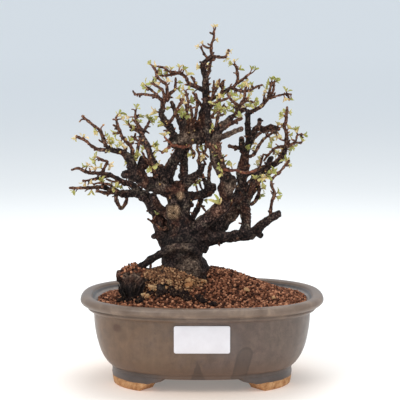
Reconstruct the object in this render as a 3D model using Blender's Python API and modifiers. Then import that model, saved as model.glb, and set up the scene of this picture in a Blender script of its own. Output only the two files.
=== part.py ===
"""A flowering quince bonsai, leafing out, in its oval glazed pot.

Metres, +Z up, the front of the pot faces -Y. The origin is the middle of the
whole object's box, on the surface that the pot's four feet stand on.
"""

import math
import random

import bmesh
import bpy
from mathutils import Matrix, Vector
from mathutils.geometry import normal

MM = 0.001
GAP = 0.35 * MM
SEED = 2607

# Heights in the tables are measured from a level a little above the feet's
# soles; stand_on_origin puts the finished object on its feet.

# Pot: (half length, half width, height) in mm of each ring, from the underside
# up the outside, over the lip and down the inside to the floor.
POT_SIDES = 48
OVAL_POWER = 2.5
POT_OUTSIDE = [
    (69.5, 50.5, 7.6),
    (72.0, 53.0, 8.6),
    (72.4, 53.3, 11.0),
    (76.0, 55.8, 14.2),
    (80.4, 58.0, 21.0),
    (83.8, 59.5, 31.0),
    (85.9, 60.4, 43.0),
    (86.8, 61.0, 54.5),
]
POT_LIP = [
    (89.6, 63.2, 55.4),
    (91.6, 65.0, 57.4),
    (91.4, 64.8, 59.4),
    (94.6, 67.8, 60.0),
    (96.8, 69.8, 62.2),
    (96.8, 69.8, 64.4),
    (95.0, 68.0, 66.4),
    (92.0, 65.2, 67.0),
    (88.8, 62.2, 66.4),
    (87.4, 60.8, 64.8),
]
POT_INSIDE = [
    (82.0, 56.4, 58.0),
    (80.4, 55.6, 48.0),
    (78.0, 54.0, 34.0),
    (73.0, 51.0, 22.0),
    (66.0, 46.0, 15.0),
]

# Feet: (height in mm, first and last angle along the oval, how far the outer
# face lies inside the base ring in mm). The ends are cut back like brackets.
FOOT_LEVELS = [
    (-3.2, 15.0, 51.0, 1.2),
    (-2.2, 14.0, 52.5, 0.3),
    (1.4, 12.0, 56.0, -0.2),
    (4.4, 10.0, 62.0, -0.3),
    (6.2, 7.0, 69.0, -0.3),
    (12.0, 6.0, 70.0, 1.6),
]
FOOT_DEPTH = 15.0
FOOT_ARC_POINTS = 6

DRAIN_HOLE_RADIUS = 6.0
DRAIN_HOLE_X = 32.0
SCREEN_SIZE = 19.0
SCREEN_THICKNESS = 0.8

# Soil: heights in mm of the mound behind the trunk and of the old root ball.
SOIL_EDGE = 60.5
MOUND_HEIGHT = 26.8
MOUND_MIDDLE = (5.0, 8.0)
MOUND_SPREAD_X = 38.0
MOUND_SPREAD_FRONT = 27.0
MOUND_SPREAD_BACK = 22.0
ROOT_BALL_HEIGHT = 16.0
ROOT_BALL_MIDDLE = (-37.0, -9.0)
ROOT_BALL_SPREAD = (16.0, 13.0)
SOIL_RINGS = 10
SOIL_RELIEF = 0.9

LABEL_WIDTH = 43.0
LABEL_BOTTOM = 30.8
LABEL_TOP = 52.6
LABEL_THICKNESS = 0.6
LABEL_CORNER = 1.6

# Where the tree's routes are seen from: the routes give the front view in the
# plane of the trunk, and depth moves each point along its line of sight.
VIEW_DISTANCE = 1200.0
EYE_HEIGHT = 310.0

# Routes in mm, as (x, depth, height), depth growing towards the back.
TRUNK = [(-14, 0, 52), (-14, 0, 70), (-14, 0, 79), (-14.5, 0, 86), (-16, 0, 94), (-16.8, 0, 101), (-16, 1, 109),
         (-17.5, 1, 119), (-18.8, 0, 129), (-18.3, -1, 139), (-20, -2, 150)]
TRUNK_RADII = [16.5, 18.5, 18, 16.2, 15.6, 15.8, 15.2, 11.0, 8.6, 7.2, 6.6]
STUMP = [(-68.5, -16, 82), (-65, -16, 81.5), (-58, -15.5, 81), (-50, -14, 80), (-42, -12, 78), (-32, -9, 77),
         (-22, -4, 76)]
STUMP_RADII = [3.4, 4.8, 5.8, 6.4, 7.0, 7.8, 9]
# Roots: (radius at the start, radius at the end, points).
ROOTS = {
    "arching": (3.0, 3.0, [(-56, -13, 83.5), (-46, -15, 89.5), (-38, -16, 95.5), (-30, -17, 100), (-21.5, -18.5, 103),
                           (-13.5, -18.5, 103.5), (-5.5, -16, 100), (-3, -12, 93), (0, -10, 82), (3, -10, 70)]),
    "rootlet": (1.0, 1.0, [(-41, -15.5, 94), (-41, -15, 88), (-42, -14, 80), (-42, -14, 74)]),
    "stump_under": (5.8, 4.0, [(-57, -15, 79), (-57, -17, 71), (-58, -19, 63), (-58, -19, 54)]),
    "stump_front": (2.4, 1.4, [(-60, -21, 80), (-62, -26, 72), (-62, -29, 64), (-62, -30, 56)]),
    "stump_end": (2.2, 1.4, [(-65, -16, 78), (-68, -17, 70), (-68, -17, 62), (-67, -17, 55)]),
    "stump_inner": (2.4, 1.4, [(-51, -20, 78), (-49, -26, 71), (-50, -29, 63), (-50, -29, 56)]),
    "stump_back": (2.4, 1.4, [(-60, -9, 80), (-62, -5, 71), (-63, -3, 63), (-63, -3, 56)]),
    "right": (7.4, 3.0, [(-7, 2, 90), (2, 4, 83), (11, 6, 76), (19, 8, 69), (26, 9, 62)]),
    "back": (8.0, 3.0, [(-12, 8, 92), (-10, 17, 85), (-8, 24, 77), (-6, 31, 67), (-5, 36, 60)]),
    "back_left": (7.0, 3.0, [(-22, 6, 90), (-31, 12, 83), (-39, 17, 74), (-46, 20, 65), (-50, 22, 58)]),
    "front_left": (6.0, 3.0, [(-22, -9, 88), (-27, -14, 83), (-31, -20, 75), (-34, -25, 66), (-36, -28, 60)]),
}
# Burls: (x, depth, height, half width, half depth, half height), all in mm.
FOOT_BURL = (-10, -12, 85.5, 11.5, 9.0, 8.5)
BURLS = [
    (-22.5, -8, 131.3, 6.6, 7.0, 6.8),
    (-38, 0, 112, 2.6, 3.0, 2.2),
    (1.5, -4, 102.5, 3.0, 3.4, 3.8),
    (46, -8, 113, 2.9, 3.0, 2.7),
    (-21, -6, 188, 5.6, 5.4, 5.0),
    (-11, -2, 190, 5.6, 5.6, 4.8),
    (-1, 0, 191, 5.4, 5.4, 5.8),
    (7, 6, 151, 5.0, 4.6, 4.2),
    (20.5, -13, 154, 6.2, 5.6, 8.0),
]

# Limbs and twigs: name: (parent, start radius, end radius, lean, points), where
# the points are (x, height) in mm and the lean is the depth gained by the tip.
LIMBS = {
    "outer_left": ("trunk", 6.2, 3.2, 10,
                   [(-22, 101), (-30, 110), (-33.5, 121), (-36.5, 131), (-40.5, 139), (-45, 145.5), (-51, 148),
                    (-57, 147), (-62, 146)]),
    "outer_left_end": ("outer_left", 2.6, 0.9, 6, [(-61, 146), (-71, 149), (-78, 151.5), (-87, 151.5), (-96, 151),
                                                   (-105, 151)]),
    "hanging_loop": ("outer_left", 1.6, 1.5, -9, [(-61, 147), (-60, 141), (-64, 135), (-68, 141), (-68, 148)]),
    "outer_left_stub": ("outer_left_end", 1.6, 1.1, -5, [(-70, 148), (-76, 147), (-83, 148.5)]),
    "thick_left": ("trunk", 7.0, 4.4, -26, [(-20, 144), (-29, 149.5), (-38, 153), (-47, 157), (-54, 162)]),
    "thick_left_stub": ("thick_left", 3.6, 3.0, -6, [(-52, 161), (-57, 162), (-63, 161.5)]),
    "thick_left_up": ("thick_left", 4.2, 1.9, -10, [(-53, 160), (-55.5, 168), (-57, 173), (-61.5, 178), (-66, 180),
                                                    (-71, 181), (-77, 185)]),
    "thick_left_tip": ("thick_left_up", 1.8, 0.9, -6, [(-76, 184), (-79, 193), (-81, 197), (-86, 201), (-91, 205),
                                                       (-94, 208)]),
    "thick_left_side": ("thick_left_up", 1.9, 0.9, 8, [(-69, 181), (-81, 181.5), (-88, 185), (-91, 188),
                                                       (-96, 190.5), (-99, 192)]),
    "low_left": ("outer_left", 2.8, 0.9, 16, [(-50, 148), (-54.5, 153), (-63, 156.5), (-69, 159.5), (-75, 162),
                                              (-87, 163), (-94, 165), (-98, 167), (-103, 165.5)]),
    "low_left_up": ("low_left", 1.4, 0.9, -5, [(-80, 162), (-77, 168), (-75, 172), (-78, 173), (-82, 175)]),
    "low_left_low": ("low_left", 1.4, 0.9, 7, [(-74, 161), (-81, 159), (-90, 157.5), (-94, 157)]),
    "crossing_left": ("trunk", 3.6, 3.0, -10, [(-20, 129), (-28.5, 129.8), (-33.6, 134), (-37.6, 139.5),
                                               (-41, 146.5)]),
    "inner_left": ("thick_left", 4.0, 2.2, 34, [(-28, 149), (-35, 163), (-39.5, 170), (-41, 178), (-43, 185),
                                                (-47, 190), (-47.5, 197)]),
    "inner_left_arm": ("inner_left", 1.6, 1.0, 8, [(-47, 195), (-52, 197), (-57, 200)]),
    "inner_left_up": ("inner_left", 1.6, 0.9, 4, [(-47, 196), (-52, 204), (-52.5, 209), (-52, 213)]),
    "inner_left_right": ("inner_left", 1.5, 1.0, 12, [(-47, 195), (-44, 199.5), (-42, 203)]),
    "inner_left_twin": ("thick_left_up", 1.8, 1.0, 12, [(-56, 171), (-52, 176), (-50.5, 183), (-49, 190)]),
    "left_fork": ("thick_left_up", 2.0, 0.9, 10, [(-57, 173), (-55.5, 182), (-61, 189), (-63, 191), (-65, 197),
                                                  (-67, 202), (-68, 207)]),
    "left_fork_twig": ("left_fork", 1.1, 0.8, -6, [(-65, 196), (-67, 199), (-70, 201)]),
    "centre_left": ("trunk", 5.6, 3.0, -5, [(-21, 145), (-27, 154), (-26.8, 161), (-23.4, 169), (-20.6, 175),
                                            (-18.6, 181), (-18.6, 188)]),
    "centre": ("trunk", 3.6, 2.6, 6, [(-18, 138), (-15, 150), (-14.2, 158), (-14.2, 169), (-14, 178), (-12, 188)]),
    "knot": ("centre_left", 4.4, 4.2, 4, [(-24, 188), (-17, 189), (-10, 189.5), (-3, 190), (3, 192)]),
    "knot_upright": ("knot", 2.6, 1.9, -6, [(-15, 190), (-15, 198), (-15, 204), (-15.5, 208)]),
    "left_stem": ("knot", 3.2, 1.9, -14, [(-21, 188), (-23, 194), (-26, 201), (-30, 206), (-32, 210.5), (-31, 214),
                                          (-30.5, 219), (-28, 221)]),
    "left_stem_a": ("left_stem", 1.4, 0.8, -7, [(-29, 220), (-31, 228), (-33, 230), (-36, 232), (-40, 234)]),
    "left_stem_b": ("left_stem", 1.3, 0.8, 8, [(-30, 220), (-37, 224), (-41, 224.5), (-47, 225.5), (-53, 225)]),
    "left_stem_c": ("left_stem_b", 1.1, 0.8, -5, [(-34, 223), (-39, 228), (-42, 231)]),
    "left_stem_d": ("left_stem", 1.7, 0.8, 5, [(-28, 220), (-27.5, 231), (-30, 234.5), (-33, 237), (-35.5, 240),
                                               (-36.5, 244), (-39, 247.5)]),
    "left_stem_e": ("left_stem", 1.5, 0.8, 12, [(-28, 220), (-25, 226), (-22, 228.5), (-21, 234), (-21, 238)]),
    "left_stem_limb": ("knot", 2.6, 1.8, 14, [(-14, 190), (-17, 201), (-20, 210), (-24, 219)]),
    "leader": ("knot", 4.4, 1.7, 5, [(-2, 189), (-1, 203), (3, 219), (3, 226), (3, 238), (1.4, 243.5), (0.5, 248),
                                     (2.5, 251), (5, 253), (8.5, 256)]),
    "apex": ("leader", 1.5, 0.8, -3, [(8, 255), (7.2, 261.5), (7.5, 265), (8.8, 268), (9.2, 272), (9.2, 278)]),
    "apex_left": ("leader", 1.1, 0.8, -5, [(5, 253), (1.4, 257.5), (-1, 262)]),
    "apex_link": ("apex", 1.0, 0.8, 3, [(7, 261.5), (4, 262), (1, 263.5)]),
    "apex_right": ("leader", 1.3, 0.8, -7, [(8, 255.5), (13.5, 254.5), (17, 254.5), (19.5, 256), (20.5, 260)]),
    "leader_twin": ("leader", 1.6, 1.1, 7, [(3, 238), (5.6, 243.5), (6.6, 249), (8.4, 254)]),
    "long_left": ("leader", 2.0, 0.8, -12, [(3, 228), (-4, 231), (-9, 233), (-11.5, 235.5), (-13, 238.5),
                                            (-16.5, 241.5), (-20.5, 242.5), (-26, 243.5), (-29, 246), (-34, 247)]),
    "long_left_low": ("long_left", 1.1, 0.8, 9, [(-18, 242), (-25, 240.5), (-31, 240), (-35, 242)]),
    "long_left_stub": ("long_left", 1.1, 0.8, 6, [(-4, 231), (-6, 235), (-8.5, 239)]),
    "red_left": ("knot", 1.5, 1.0, -13, [(-7, 188), (-12.5, 184), (-18, 184), (-23, 185), (-27.5, 182.5),
                                         (-31.5, 179)]),
    "red_left_twig": ("red_left", 0.9, 0.8, -4, [(-21, 184.5), (-26, 188), (-29, 191)]),
    "front_right": ("trunk", 6.8, 4.0, -26, [(-14, 112), (-4, 118), (5, 126.5), (12, 132), (17.5, 138.5), (20, 146),
                                           (20.2, 154), (18.5, 161), (14, 168), (11.4, 175), (12, 183),
                                           (11.5, 190)]),
    "cut_stick": ("front_right", 2.4, 1.8, -9, [(11, 190), (20, 193.5), (31, 198)]),
    "front_right_up": ("front_right", 3.8, 1.7, 16, [(10.6, 187), (11.8, 198), (16.8, 202), (21, 205.5), (27, 210),
                                                    (33.5, 213.5)]),
    "back_right": ("trunk", 6.8, 3.8, 18, [(-8, 108), (2, 114), (15, 123), (24, 131), (30, 137.5), (36, 144),
                                           (39, 150), (43, 159), (46, 162)]),
    "low_right": ("trunk", 5.6, 3.8, -8, [(-6, 107.5), (6, 109.5), (18, 111.4), (30, 111.9), (40, 113.2)]),
    "low_right_riser": ("low_right", 4.2, 3.6, 18, [(35.4, 113), (35.4, 121), (34.8, 130), (34.8, 138), (35.8, 146)]),
    "low_right_cut": ("low_right", 3.8, 2.9, -9, [(38, 113), (44, 118), (52, 124.5), (59, 129.5), (62, 130.5)]),
    "cut_twig": ("low_right_cut", 1.5, 0.8, 9, [(55, 128), (56.5, 141), (58.5, 146.5), (56, 153), (56, 158),
                                                (61, 163.5), (67, 170.5), (69, 173)]),
    "far_right": ("back_right", 3.4, 1.9, 16, [(37, 147), (32, 155), (30.5, 163), (32.5, 174), (34.5, 180.5),
                                               (37.5, 188), (37.5, 194.5), (37, 202), (37.5, 206), (37, 213)]),
    "far_right_arm": ("far_right", 1.8, 0.9, -12, [(37, 211), (43, 213.5), (48, 217.5), (52, 223), (53.5, 229.5),
                                                  (55, 235)]),
    "far_right_thin": ("far_right_arm", 1.0, 0.8, 6, [(52, 222), (64, 225.5), (70, 225.5)]),
    "far_right_short": ("far_right_arm", 1.0, 0.8, 5, [(48, 217), (48.5, 222), (49.5, 228)]),
    "far_right_left": ("far_right", 1.3, 0.9, 6, [(37, 210), (34.5, 213.5), (32, 217)]),
    "stub_upright": ("far_right", 2.6, 2.2, -9, [(34, 178), (31.5, 183), (31.5, 190)]),
    "stub_level": ("far_right", 1.8, 1.4, -10, [(34, 182), (29, 183), (22, 184.5)]),
    "arch": ("far_right", 2.8, 1.8, -12, [(37.5, 189), (42, 197), (45, 200), (48.5, 198), (54.5, 199.5),
                                          (60, 198)]),
    "arch_stub": ("arch", 2.2, 1.8, 2, [(43, 197), (45, 202), (45.5, 205)]),
    "under_arch": ("far_right", 1.5, 0.9, 12, [(34, 176), (40.5, 178), (45.5, 185.5), (51.5, 192), (57.5, 196)]),
    "outer_right": ("back_right", 2.8, 1.1, -28, [(44, 160), (51.5, 167), (59, 170.5), (63, 175), (65.5, 181.5),
                                                  (67.5, 189), (67.5, 195.5), (65.5, 200), (67, 203), (68, 210.5),
                                                  (68, 215)]),
    "outer_right_a": ("outer_right", 1.2, 0.8, -7, [(67, 184), (70, 185.5), (74, 188), (75, 193), (78.5, 194)]),
    "outer_right_b": ("outer_right_a", 1.0, 0.8, 5, [(73.5, 187.5), (76, 187), (78.5, 187)]),
    "outer_right_c": ("outer_right", 1.3, 0.8, 12, [(66, 184), (63, 184), (57.5, 182.5), (54, 179), (49, 173)]),
    "outer_right_d": ("back_right", 1.2, 0.8, 6, [(44, 161), (46, 168), (48.5, 178)]),
    "top_right": ("leader", 2.1, 0.9, 14, [(3, 219), (9, 222.5), (15, 225), (22, 230.5), (25, 231), (28, 236),
                                           (27.5, 243), (26, 248.5)]),
    "top_right_a": ("top_right", 1.2, 0.8, -8, [(28, 234.5), (32, 237), (37, 241)]),
    "top_right_b": ("top_right", 1.4, 0.8, 9, [(23, 230.5), (33, 227.5), (39, 229), (42.5, 231), (47, 233)]),
    "top_right_stub": ("top_right", 1.2, 0.8, -6, [(14, 224.5), (16, 229), (17, 235)]),
    "red_right": ("front_right", 1.6, 1.0, -8, [(13, 175), (16.5, 167), (21, 165), (28, 165), (33.5, 163),
                                                (42.5, 165)]),
    "fork_left": ("burl_fork", 1.8, 1.2, 8, [(4, 152), (-0.5, 162.5), (-1.7, 169), (-3, 173)]),
    "fork_right": ("burl_fork", 1.8, 1.2, 12, [(5, 153), (5.6, 164), (7, 171)]),
    "level": ("trunk", 3.4, 3.0, 8, [(-20, 142), (-13, 144), (-3, 145), (7, 147.5)]),
    "curved_stub": ("centre_left", 3.6, 1.5, -13, [(-22, 160), (-15, 160.5), (-8.5, 162), (-3, 167), (0, 171)]),
    "stick": ("trunk", 2.6, 1.8, 6, [(-12, 118), (-8.5, 125), (-4, 134), (-1, 141), (3, 149)]),
    "stick_twig": ("stick", 0.9, 0.8, -4, [(-3, 138), (0, 136), (2.5, 133)]),
    "low_twig": ("outer_left", 0.9, 0.8, -6, [(-36, 120), (-39, 123), (-43, 126)]),
    "front_twig": ("trunk", 1.1, 0.8, -7, [(-22, 120), (-27, 118.5), (-32, 118), (-36, 121)]),
}
# Limbs that spread towards the back and the front, behind the ones above.
DEPTH_LIMBS = {
    "back_centre": ("trunk", 4.4, 2.2, 44, [(-16, 116), (-15, 140), (-14.6, 162), (-14.6, 184), (-10, 200)]),
    "back_centre_left": ("back_centre", 2.0, 0.9, 16, [(-14.6, 168), (-19, 182), (-24, 192), (-30, 204)]),
    "back_centre_low": ("back_centre", 2.2, 0.9, 28, [(-14.6, 158), (-14.6, 165), (-15, 174), (-13, 186)]),
    "back_centre_tip": ("back_centre", 1.8, 0.9, 6, [(-10, 192), (-12, 206), (-11, 219), (-13, 228)]),
    "back_centre_right": ("back_centre", 2.0, 0.9, 10, [(-12, 185), (-3, 198), (5, 206), (13, 213)]),
    "back_left": ("trunk", 4.0, 2.2, 42, [(-21, 120), (-20, 138), (-25, 150), (-29, 158), (-30, 166)]),
    "back_left_a": ("back_left", 2.0, 0.9, 10, [(-30, 164), (-37, 171), (-41, 178), (-47, 186), (-56, 192)]),
    "back_left_b": ("back_left", 1.8, 0.9, 12, [(-30, 165), (-25, 174), (-21, 182), (-22, 193)]),
    "back_left_c": ("back_left", 1.8, 0.9, 24, [(-26, 152), (-36, 155), (-45, 158), (-54, 164)]),
    "back_right_limb": ("trunk", 4.8, 2.4, 46, [(-6, 112), (10, 126), (24, 140), (32, 156), (36, 170)]),
    "back_right_a": ("back_right_limb", 1.9, 0.9, 8, [(33, 160), (46, 167), (58, 172), (66, 184)]),
    "back_right_b": ("back_right_limb", 1.9, 0.9, 10, [(35, 166), (36, 180), (38, 192), (37, 204)]),
    "back_right_c": ("back_right_limb", 1.8, 0.9, 24, [(27, 146), (31, 150), (37, 156), (44, 160)]),
    "front_centre": ("front_right", 2.0, 1.0, -24, [(20, 154), (18.4, 165), (15, 176), (12, 187)]),
    "front_centre_a": ("front_centre", 1.3, 0.9, -10, [(15, 175), (11, 181), (6, 186)]),
    "front_left_limb": ("thick_left", 2.2, 1.0, -20, [(-36, 152), (-38, 163), (-41, 174), (-43, 182)]),
    "front_left_a": ("front_left_limb", 1.3, 0.9, -10, [(-38, 165), (-43, 172), (-48, 180)]),
    "front_top": ("left_stem", 1.5, 0.9, -18, [(-27, 202), (-22, 208), (-19, 215), (-15, 221)]),
    "front_top_right": ("leader", 1.7, 0.9, -24, [(1, 210), (6, 215), (12, 219), (20, 222)]),
    "front_low_right": ("back_right", 1.6, 0.9, -40, [(36, 144), (40, 152), (47, 157), (54, 162)]),
    "back_top": ("leader", 1.6, 0.9, 24, [(3, 226), (4, 234), (3, 241), (2, 249)]),
    "back_far_right": ("far_right", 1.5, 0.9, 22, [(36.5, 186), (42, 192), (49, 196), (59, 197.5)]),
    "back_far_left": ("inner_left", 1.4, 0.9, 20, [(-44, 187), (-47, 194), (-51, 200), (-52, 209)]),
}
# Leaf tufts in mm, as (x, height) seen from the front: each one grows from the
# nearest thin twig.
LEAF_SPOTS = [
    (-98, 192), (-93, 193), (-81, 196), (-75, 193), (-73, 190), (-82, 181), (-68, 194), (-66, 209), (-59, 207),
    (-60, 202), (-52, 214), (-57, 188), (-63, 185), (-61, 181), (-83, 176), (-74, 177), (-93, 169), (-74, 169),
    (-92, 155), (-101, 149), (-87, 150), (-66, 153), (-60, 170), (-55, 173), (-42, 250), (-36, 248), (-47, 233),
    (-45, 229), (-38, 233), (-34, 238), (-33, 234), (-27, 236), (-24, 246), (-34, 243), (-18, 234), (-18, 229),
    (-34, 227), (-26, 214), (-42, 208), (-39, 212), (-39, 204), (-33, 201), (-30, 194), (-38, 184), (-44, 177),
    (-33, 169), (-50, 202), (-17, 248), (-13, 246), (-11, 240), (-2, 246), (-14, 224), (-18, 213), (14, 238),
    (15, 230), (6, 218), (14, 216), (3, 206), (11, 198), (-3, 184), (-1, 176), (-5, 155), (14, 173), (20, 169),
    (23, 170), (2, 141), (34, 231), (33, 222), (28, 214), (30, 206), (39, 219), (41, 216), (51, 226), (54, 237),
    (58, 235), (66, 229), (25, 226), (60, 202), (54, 190), (60, 191), (38, 186), (57, 175), (49, 162), (57, 165),
    (66, 174), (68, 169), (65, 221), (70, 221), (63, 208), (66, 210), (70, 210), (69, 198), (73, 199), (74, 197),
    (81, 194), (79, 187), (70, 184), (68, 181), (45, 147), (54, 162), (62, 147), (-35, 131), (9, 128), (7, 279),
    (11, 280), (10, 270), (-4, 263), (1, 265), (20, 257), (23, 259), (19, 253), (25, 253), (30, 245), (39, 247),
    (43, 246),
]
BIG_TUFT = (17, 138)
BUD_SPOTS = [(-33, 186), (-8, 188), (2, 187), (-2, 236), (5, 232), (-22, 229), (44, 218), (50, 154), (22, 141),
             (-64, 186)]
THICKEST_LEAFY_WOOD = 2.6
# A tuft of young leaves as one notched blade: its outline, as shares of its
# length, from the root round both side lobes and the tip.
TUFT_OUTLINE = [(0, 0), (0.66, -0.46), (0.6, -0.16), (1, 0), (0.6, 0.16), (0.66, 0.46)]
TUFT_CUP = 0.16
TUFT_LENGTH = (5.5, 8.5)
TUFT_THICKNESS = 0.9
SECOND_BLADE_SHARE = 0.12
SPUR_SPACING = 38.0
WOOD_UNEVENNESS = 0.16
CURVE_STEPS = 8
SHORTEST_EDGE = 0.35 * MM
LEAST_TURN_COSINE = 0.85
BEND_PER_SPAN = 40.0
THICK_SPACING = 11.5
THIN_SPACING = 10.5


def clear_scene():
    for obj in list(bpy.data.objects):
        bpy.data.objects.remove(obj, do_unlink=True)


def new_collection(name, hidden=False):
    collection = bpy.data.collections.new(name)
    bpy.context.scene.collection.children.link(collection)
    collection.hide_render = hidden
    return collection


def principled(name, colour, roughness, metallic=0.0):
    material = bpy.data.materials.new(name)
    material.use_nodes = True
    shader = material.node_tree.nodes["Principled BSDF"]
    shader.inputs["Base Color"].default_value = (*colour, 1.0)
    shader.inputs["Roughness"].default_value = roughness
    shader.inputs["Metallic"].default_value = metallic
    return material


def mm(values):
    return Vector(values) * MM


def add_mesh(name, bm, collection):
    mesh = bpy.data.meshes.new(name)
    bm.to_mesh(mesh)
    bm.free()
    obj = bpy.data.objects.new(name, mesh)
    collection.objects.link(obj)
    return obj


def oval_point(half_length, half_width, height, angle):
    """A point of a rounded oval, fuller at its corners than an ellipse."""
    cosine = math.cos(angle)
    sine = math.sin(angle)
    x = math.copysign(abs(cosine) ** (2 / OVAL_POWER), cosine) * half_length
    y = math.copysign(abs(sine) ** (2 / OVAL_POWER), sine) * half_width
    return mm((x, y, height))


def oval_ring(half_length, half_width, height):
    step = math.tau / POT_SIDES
    return [oval_point(half_length, half_width, height, i * step) for i in range(POT_SIDES)]


def loft(name, rings, collection):
    """A closed solid through rings of equally many points, from bottom to top."""
    bm = bmesh.new()
    rows = [[bm.verts.new(point) for point in ring] for ring in rings]
    count = len(rows[0])
    for low, high in zip(rows, rows[1:]):
        for i in range(count):
            j = (i + 1) % count
            bm.faces.new((low[i], low[j], high[j], high[i]))
    bm.faces.new(reversed(rows[0]))
    bm.faces.new(rows[-1])
    bmesh.ops.recalc_face_normals(bm, faces=bm.faces)
    return add_mesh(name, bm, collection)


def boolean(obj, others, operation, solver="EXACT"):
    """Joins a collection's objects to obj, or cuts them from it, for good."""
    modifier = obj.modifiers.new(operation.title(), "BOOLEAN")
    modifier.operation = operation
    modifier.operand_type = "COLLECTION"
    modifier.collection = others
    modifier.solver = solver
    bpy.context.view_layer.update()
    graph = bpy.context.evaluated_depsgraph_get()
    result = bpy.data.meshes.new_from_object(obj.evaluated_get(graph))
    obj.modifiers.remove(modifier)
    obj.data = result


def empty_collection(collection):
    for obj in list(collection.objects):
        bpy.data.objects.remove(obj, do_unlink=True)
    bpy.data.collections.remove(collection)


# Pot


def foot_ring(level, side_x, side_y):
    height, first, last, inset = level
    half_length, half_width = POT_OUTSIDE[1][0] - inset, POT_OUTSIDE[1][1] - inset
    angles = [math.radians(first + (last - first) * i / (FOOT_ARC_POINTS - 1)) for i in range(FOOT_ARC_POINTS)]
    outer = [oval_point(half_length, half_width, height, angle) for angle in angles]
    inner = [oval_point(half_length - FOOT_DEPTH, half_width - FOOT_DEPTH, height, angle) for angle in angles]
    ring = outer + inner[::-1]
    return [Vector((side_x * p.x, side_y * p.y, p.z)) for p in ring]


def make_pot(parts):
    pot = loft("pot", [oval_ring(*ring) for ring in POT_OUTSIDE + POT_LIP + POT_INSIDE], parts)
    feet = new_collection("feet")
    for side_x in (-1, 1):
        for side_y in (-1, 1):
            loft("foot", [foot_ring(level, side_x, side_y) for level in FOOT_LEVELS], feet)
    boolean(pot, feet, "UNION")
    empty_collection(feet)
    holes = new_collection("holes")
    for side in (-1, 1):
        bm = bmesh.new()
        bmesh.ops.create_cone(bm, cap_ends=True, segments=20, radius1=DRAIN_HOLE_RADIUS * MM,
                              radius2=DRAIN_HOLE_RADIUS * MM, depth=0.03)
        hole = add_mesh("hole", bm, holes)
        hole.location = mm((side * DRAIN_HOLE_X, 0, POT_OUTSIDE[0][2]))
    boolean(pot, holes, "DIFFERENCE")
    empty_collection(holes)
    pot.data.shade_smooth()
    pot.data.set_sharp_from_angle(angle=math.radians(35))
    return pot


def make_screen(name, side, parts):
    """A plastic drainage screen that lies on the floor over one drain hole."""
    bpy.ops.mesh.primitive_grid_add(x_subdivisions=4, y_subdivisions=4, size=SCREEN_SIZE * MM)
    screen = bpy.context.object
    screen.name = name
    for collection in list(screen.users_collection):
        collection.objects.unlink(screen)
    parts.objects.link(screen)
    floor = POT_INSIDE[-1][2]
    screen.location = mm((side * DRAIN_HOLE_X, 0, floor + 0.3 + SCREEN_THICKNESS / 2))
    wires = screen.modifiers.new("Wires", "WIREFRAME")
    wires.thickness = SCREEN_THICKNESS * MM
    wires.use_boundary = True
    wires.use_replace = True
    wires.use_even_offset = False
    return screen


# Soil


def inside_at(height):
    """The half length and half width of the pot's inside at a height, in mm."""
    rings = POT_LIP[-1:] + POT_INSIDE
    for high, low in zip(rings, rings[1:]):
        if high[2] >= height >= low[2]:
            share = (height - low[2]) / (high[2] - low[2])
            return (low[0] + share * (high[0] - low[0]), low[1] + share * (high[1] - low[1]))
    return rings[-1][0], rings[-1][1]


def soil_height(x, y):
    """The height of the soil, in mm, at a place given in mm."""
    spread_y = MOUND_SPREAD_FRONT if y < MOUND_MIDDLE[1] else MOUND_SPREAD_BACK
    mound = ((x - MOUND_MIDDLE[0]) / MOUND_SPREAD_X) ** 2 + ((y - MOUND_MIDDLE[1]) / spread_y) ** 2
    ball = ((x - ROOT_BALL_MIDDLE[0]) / ROOT_BALL_SPREAD[0]) ** 2
    ball += ((y - ROOT_BALL_MIDDLE[1]) / ROOT_BALL_SPREAD[1]) ** 2
    return SOIL_EDGE + MOUND_HEIGHT * math.exp(-mound / 2) + ROOT_BALL_HEIGHT * math.exp(-ball / 2)


def make_soil(parts):
    clear = 0.45
    bottom = POT_INSIDE[-1][2] + SCREEN_THICKNESS + 0.6
    rings = []
    for height in [bottom] + [ring[2] for ring in POT_INSIDE[-2::-1]] + [SOIL_EDGE]:
        half_length, half_width = inside_at(height)
        rings.append(oval_ring(half_length - clear, half_width - clear, height))
    draw = random.Random(SEED)
    for i in range(SOIL_RINGS):
        size = 1 - (i + 0.5) / (SOIL_RINGS + 0.3)
        ring = oval_ring((half_length - clear) * size, (half_width - clear) * size, 0)
        for point in ring:
            relief = SOIL_RELIEF * draw.uniform(-1, 1)
            point.z = (soil_height(point.x / MM, point.y / MM) + relief) * MM
        rings.append(ring)
    return loft("soil", rings, parts)


# Tree


def seen(x, depth, height):
    """The point at this depth that shows at (x, height) in the trunk's plane."""
    share = (VIEW_DISTANCE + depth) / VIEW_DISTANCE
    return Vector((x * share, depth, EYE_HEIGHT + (height - EYE_HEIGHT) * share))


def smooth_route(points, values, spacing):
    """Points about this far apart on a smooth curve through the given ones,
    each with its value, such as a radius, read along the way."""
    fine = []
    for i in range(len(points) - 1):
        before = points[max(i - 1, 0)]
        after = points[min(i + 2, len(points) - 1)]
        start, end = points[i], points[i + 1]
        for k in range(CURVE_STEPS):
            t = k / CURVE_STEPS
            bend = ((2 * start) + (end - before) * t + (2 * before - 5 * start + 4 * end - after) * t * t
                    + (3 * start - before - 3 * end + after) * t * t * t) / 2
            fine.append((bend, values[i] + (values[i + 1] - values[i]) * t))
    fine.append((points[-1], values[-1]))
    travelled = [0.0]
    for (a, _), (b, _) in zip(fine, fine[1:]):
        travelled.append(travelled[-1] + (b - a).length)
    spans = [b - a for a, b in zip(points, points[1:])]
    turning = sum(a.angle(b) for a, b in zip(spans, spans[1:]))
    count = max(2, round(travelled[-1] / spacing), round(math.degrees(turning) / BEND_PER_SPAN))
    wanted = [travelled[-1] * i / count for i in range(count + 1)]
    return [fine[min(range(len(fine)), key=lambda k: abs(travelled[k] - length))] for length in wanted]


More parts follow.
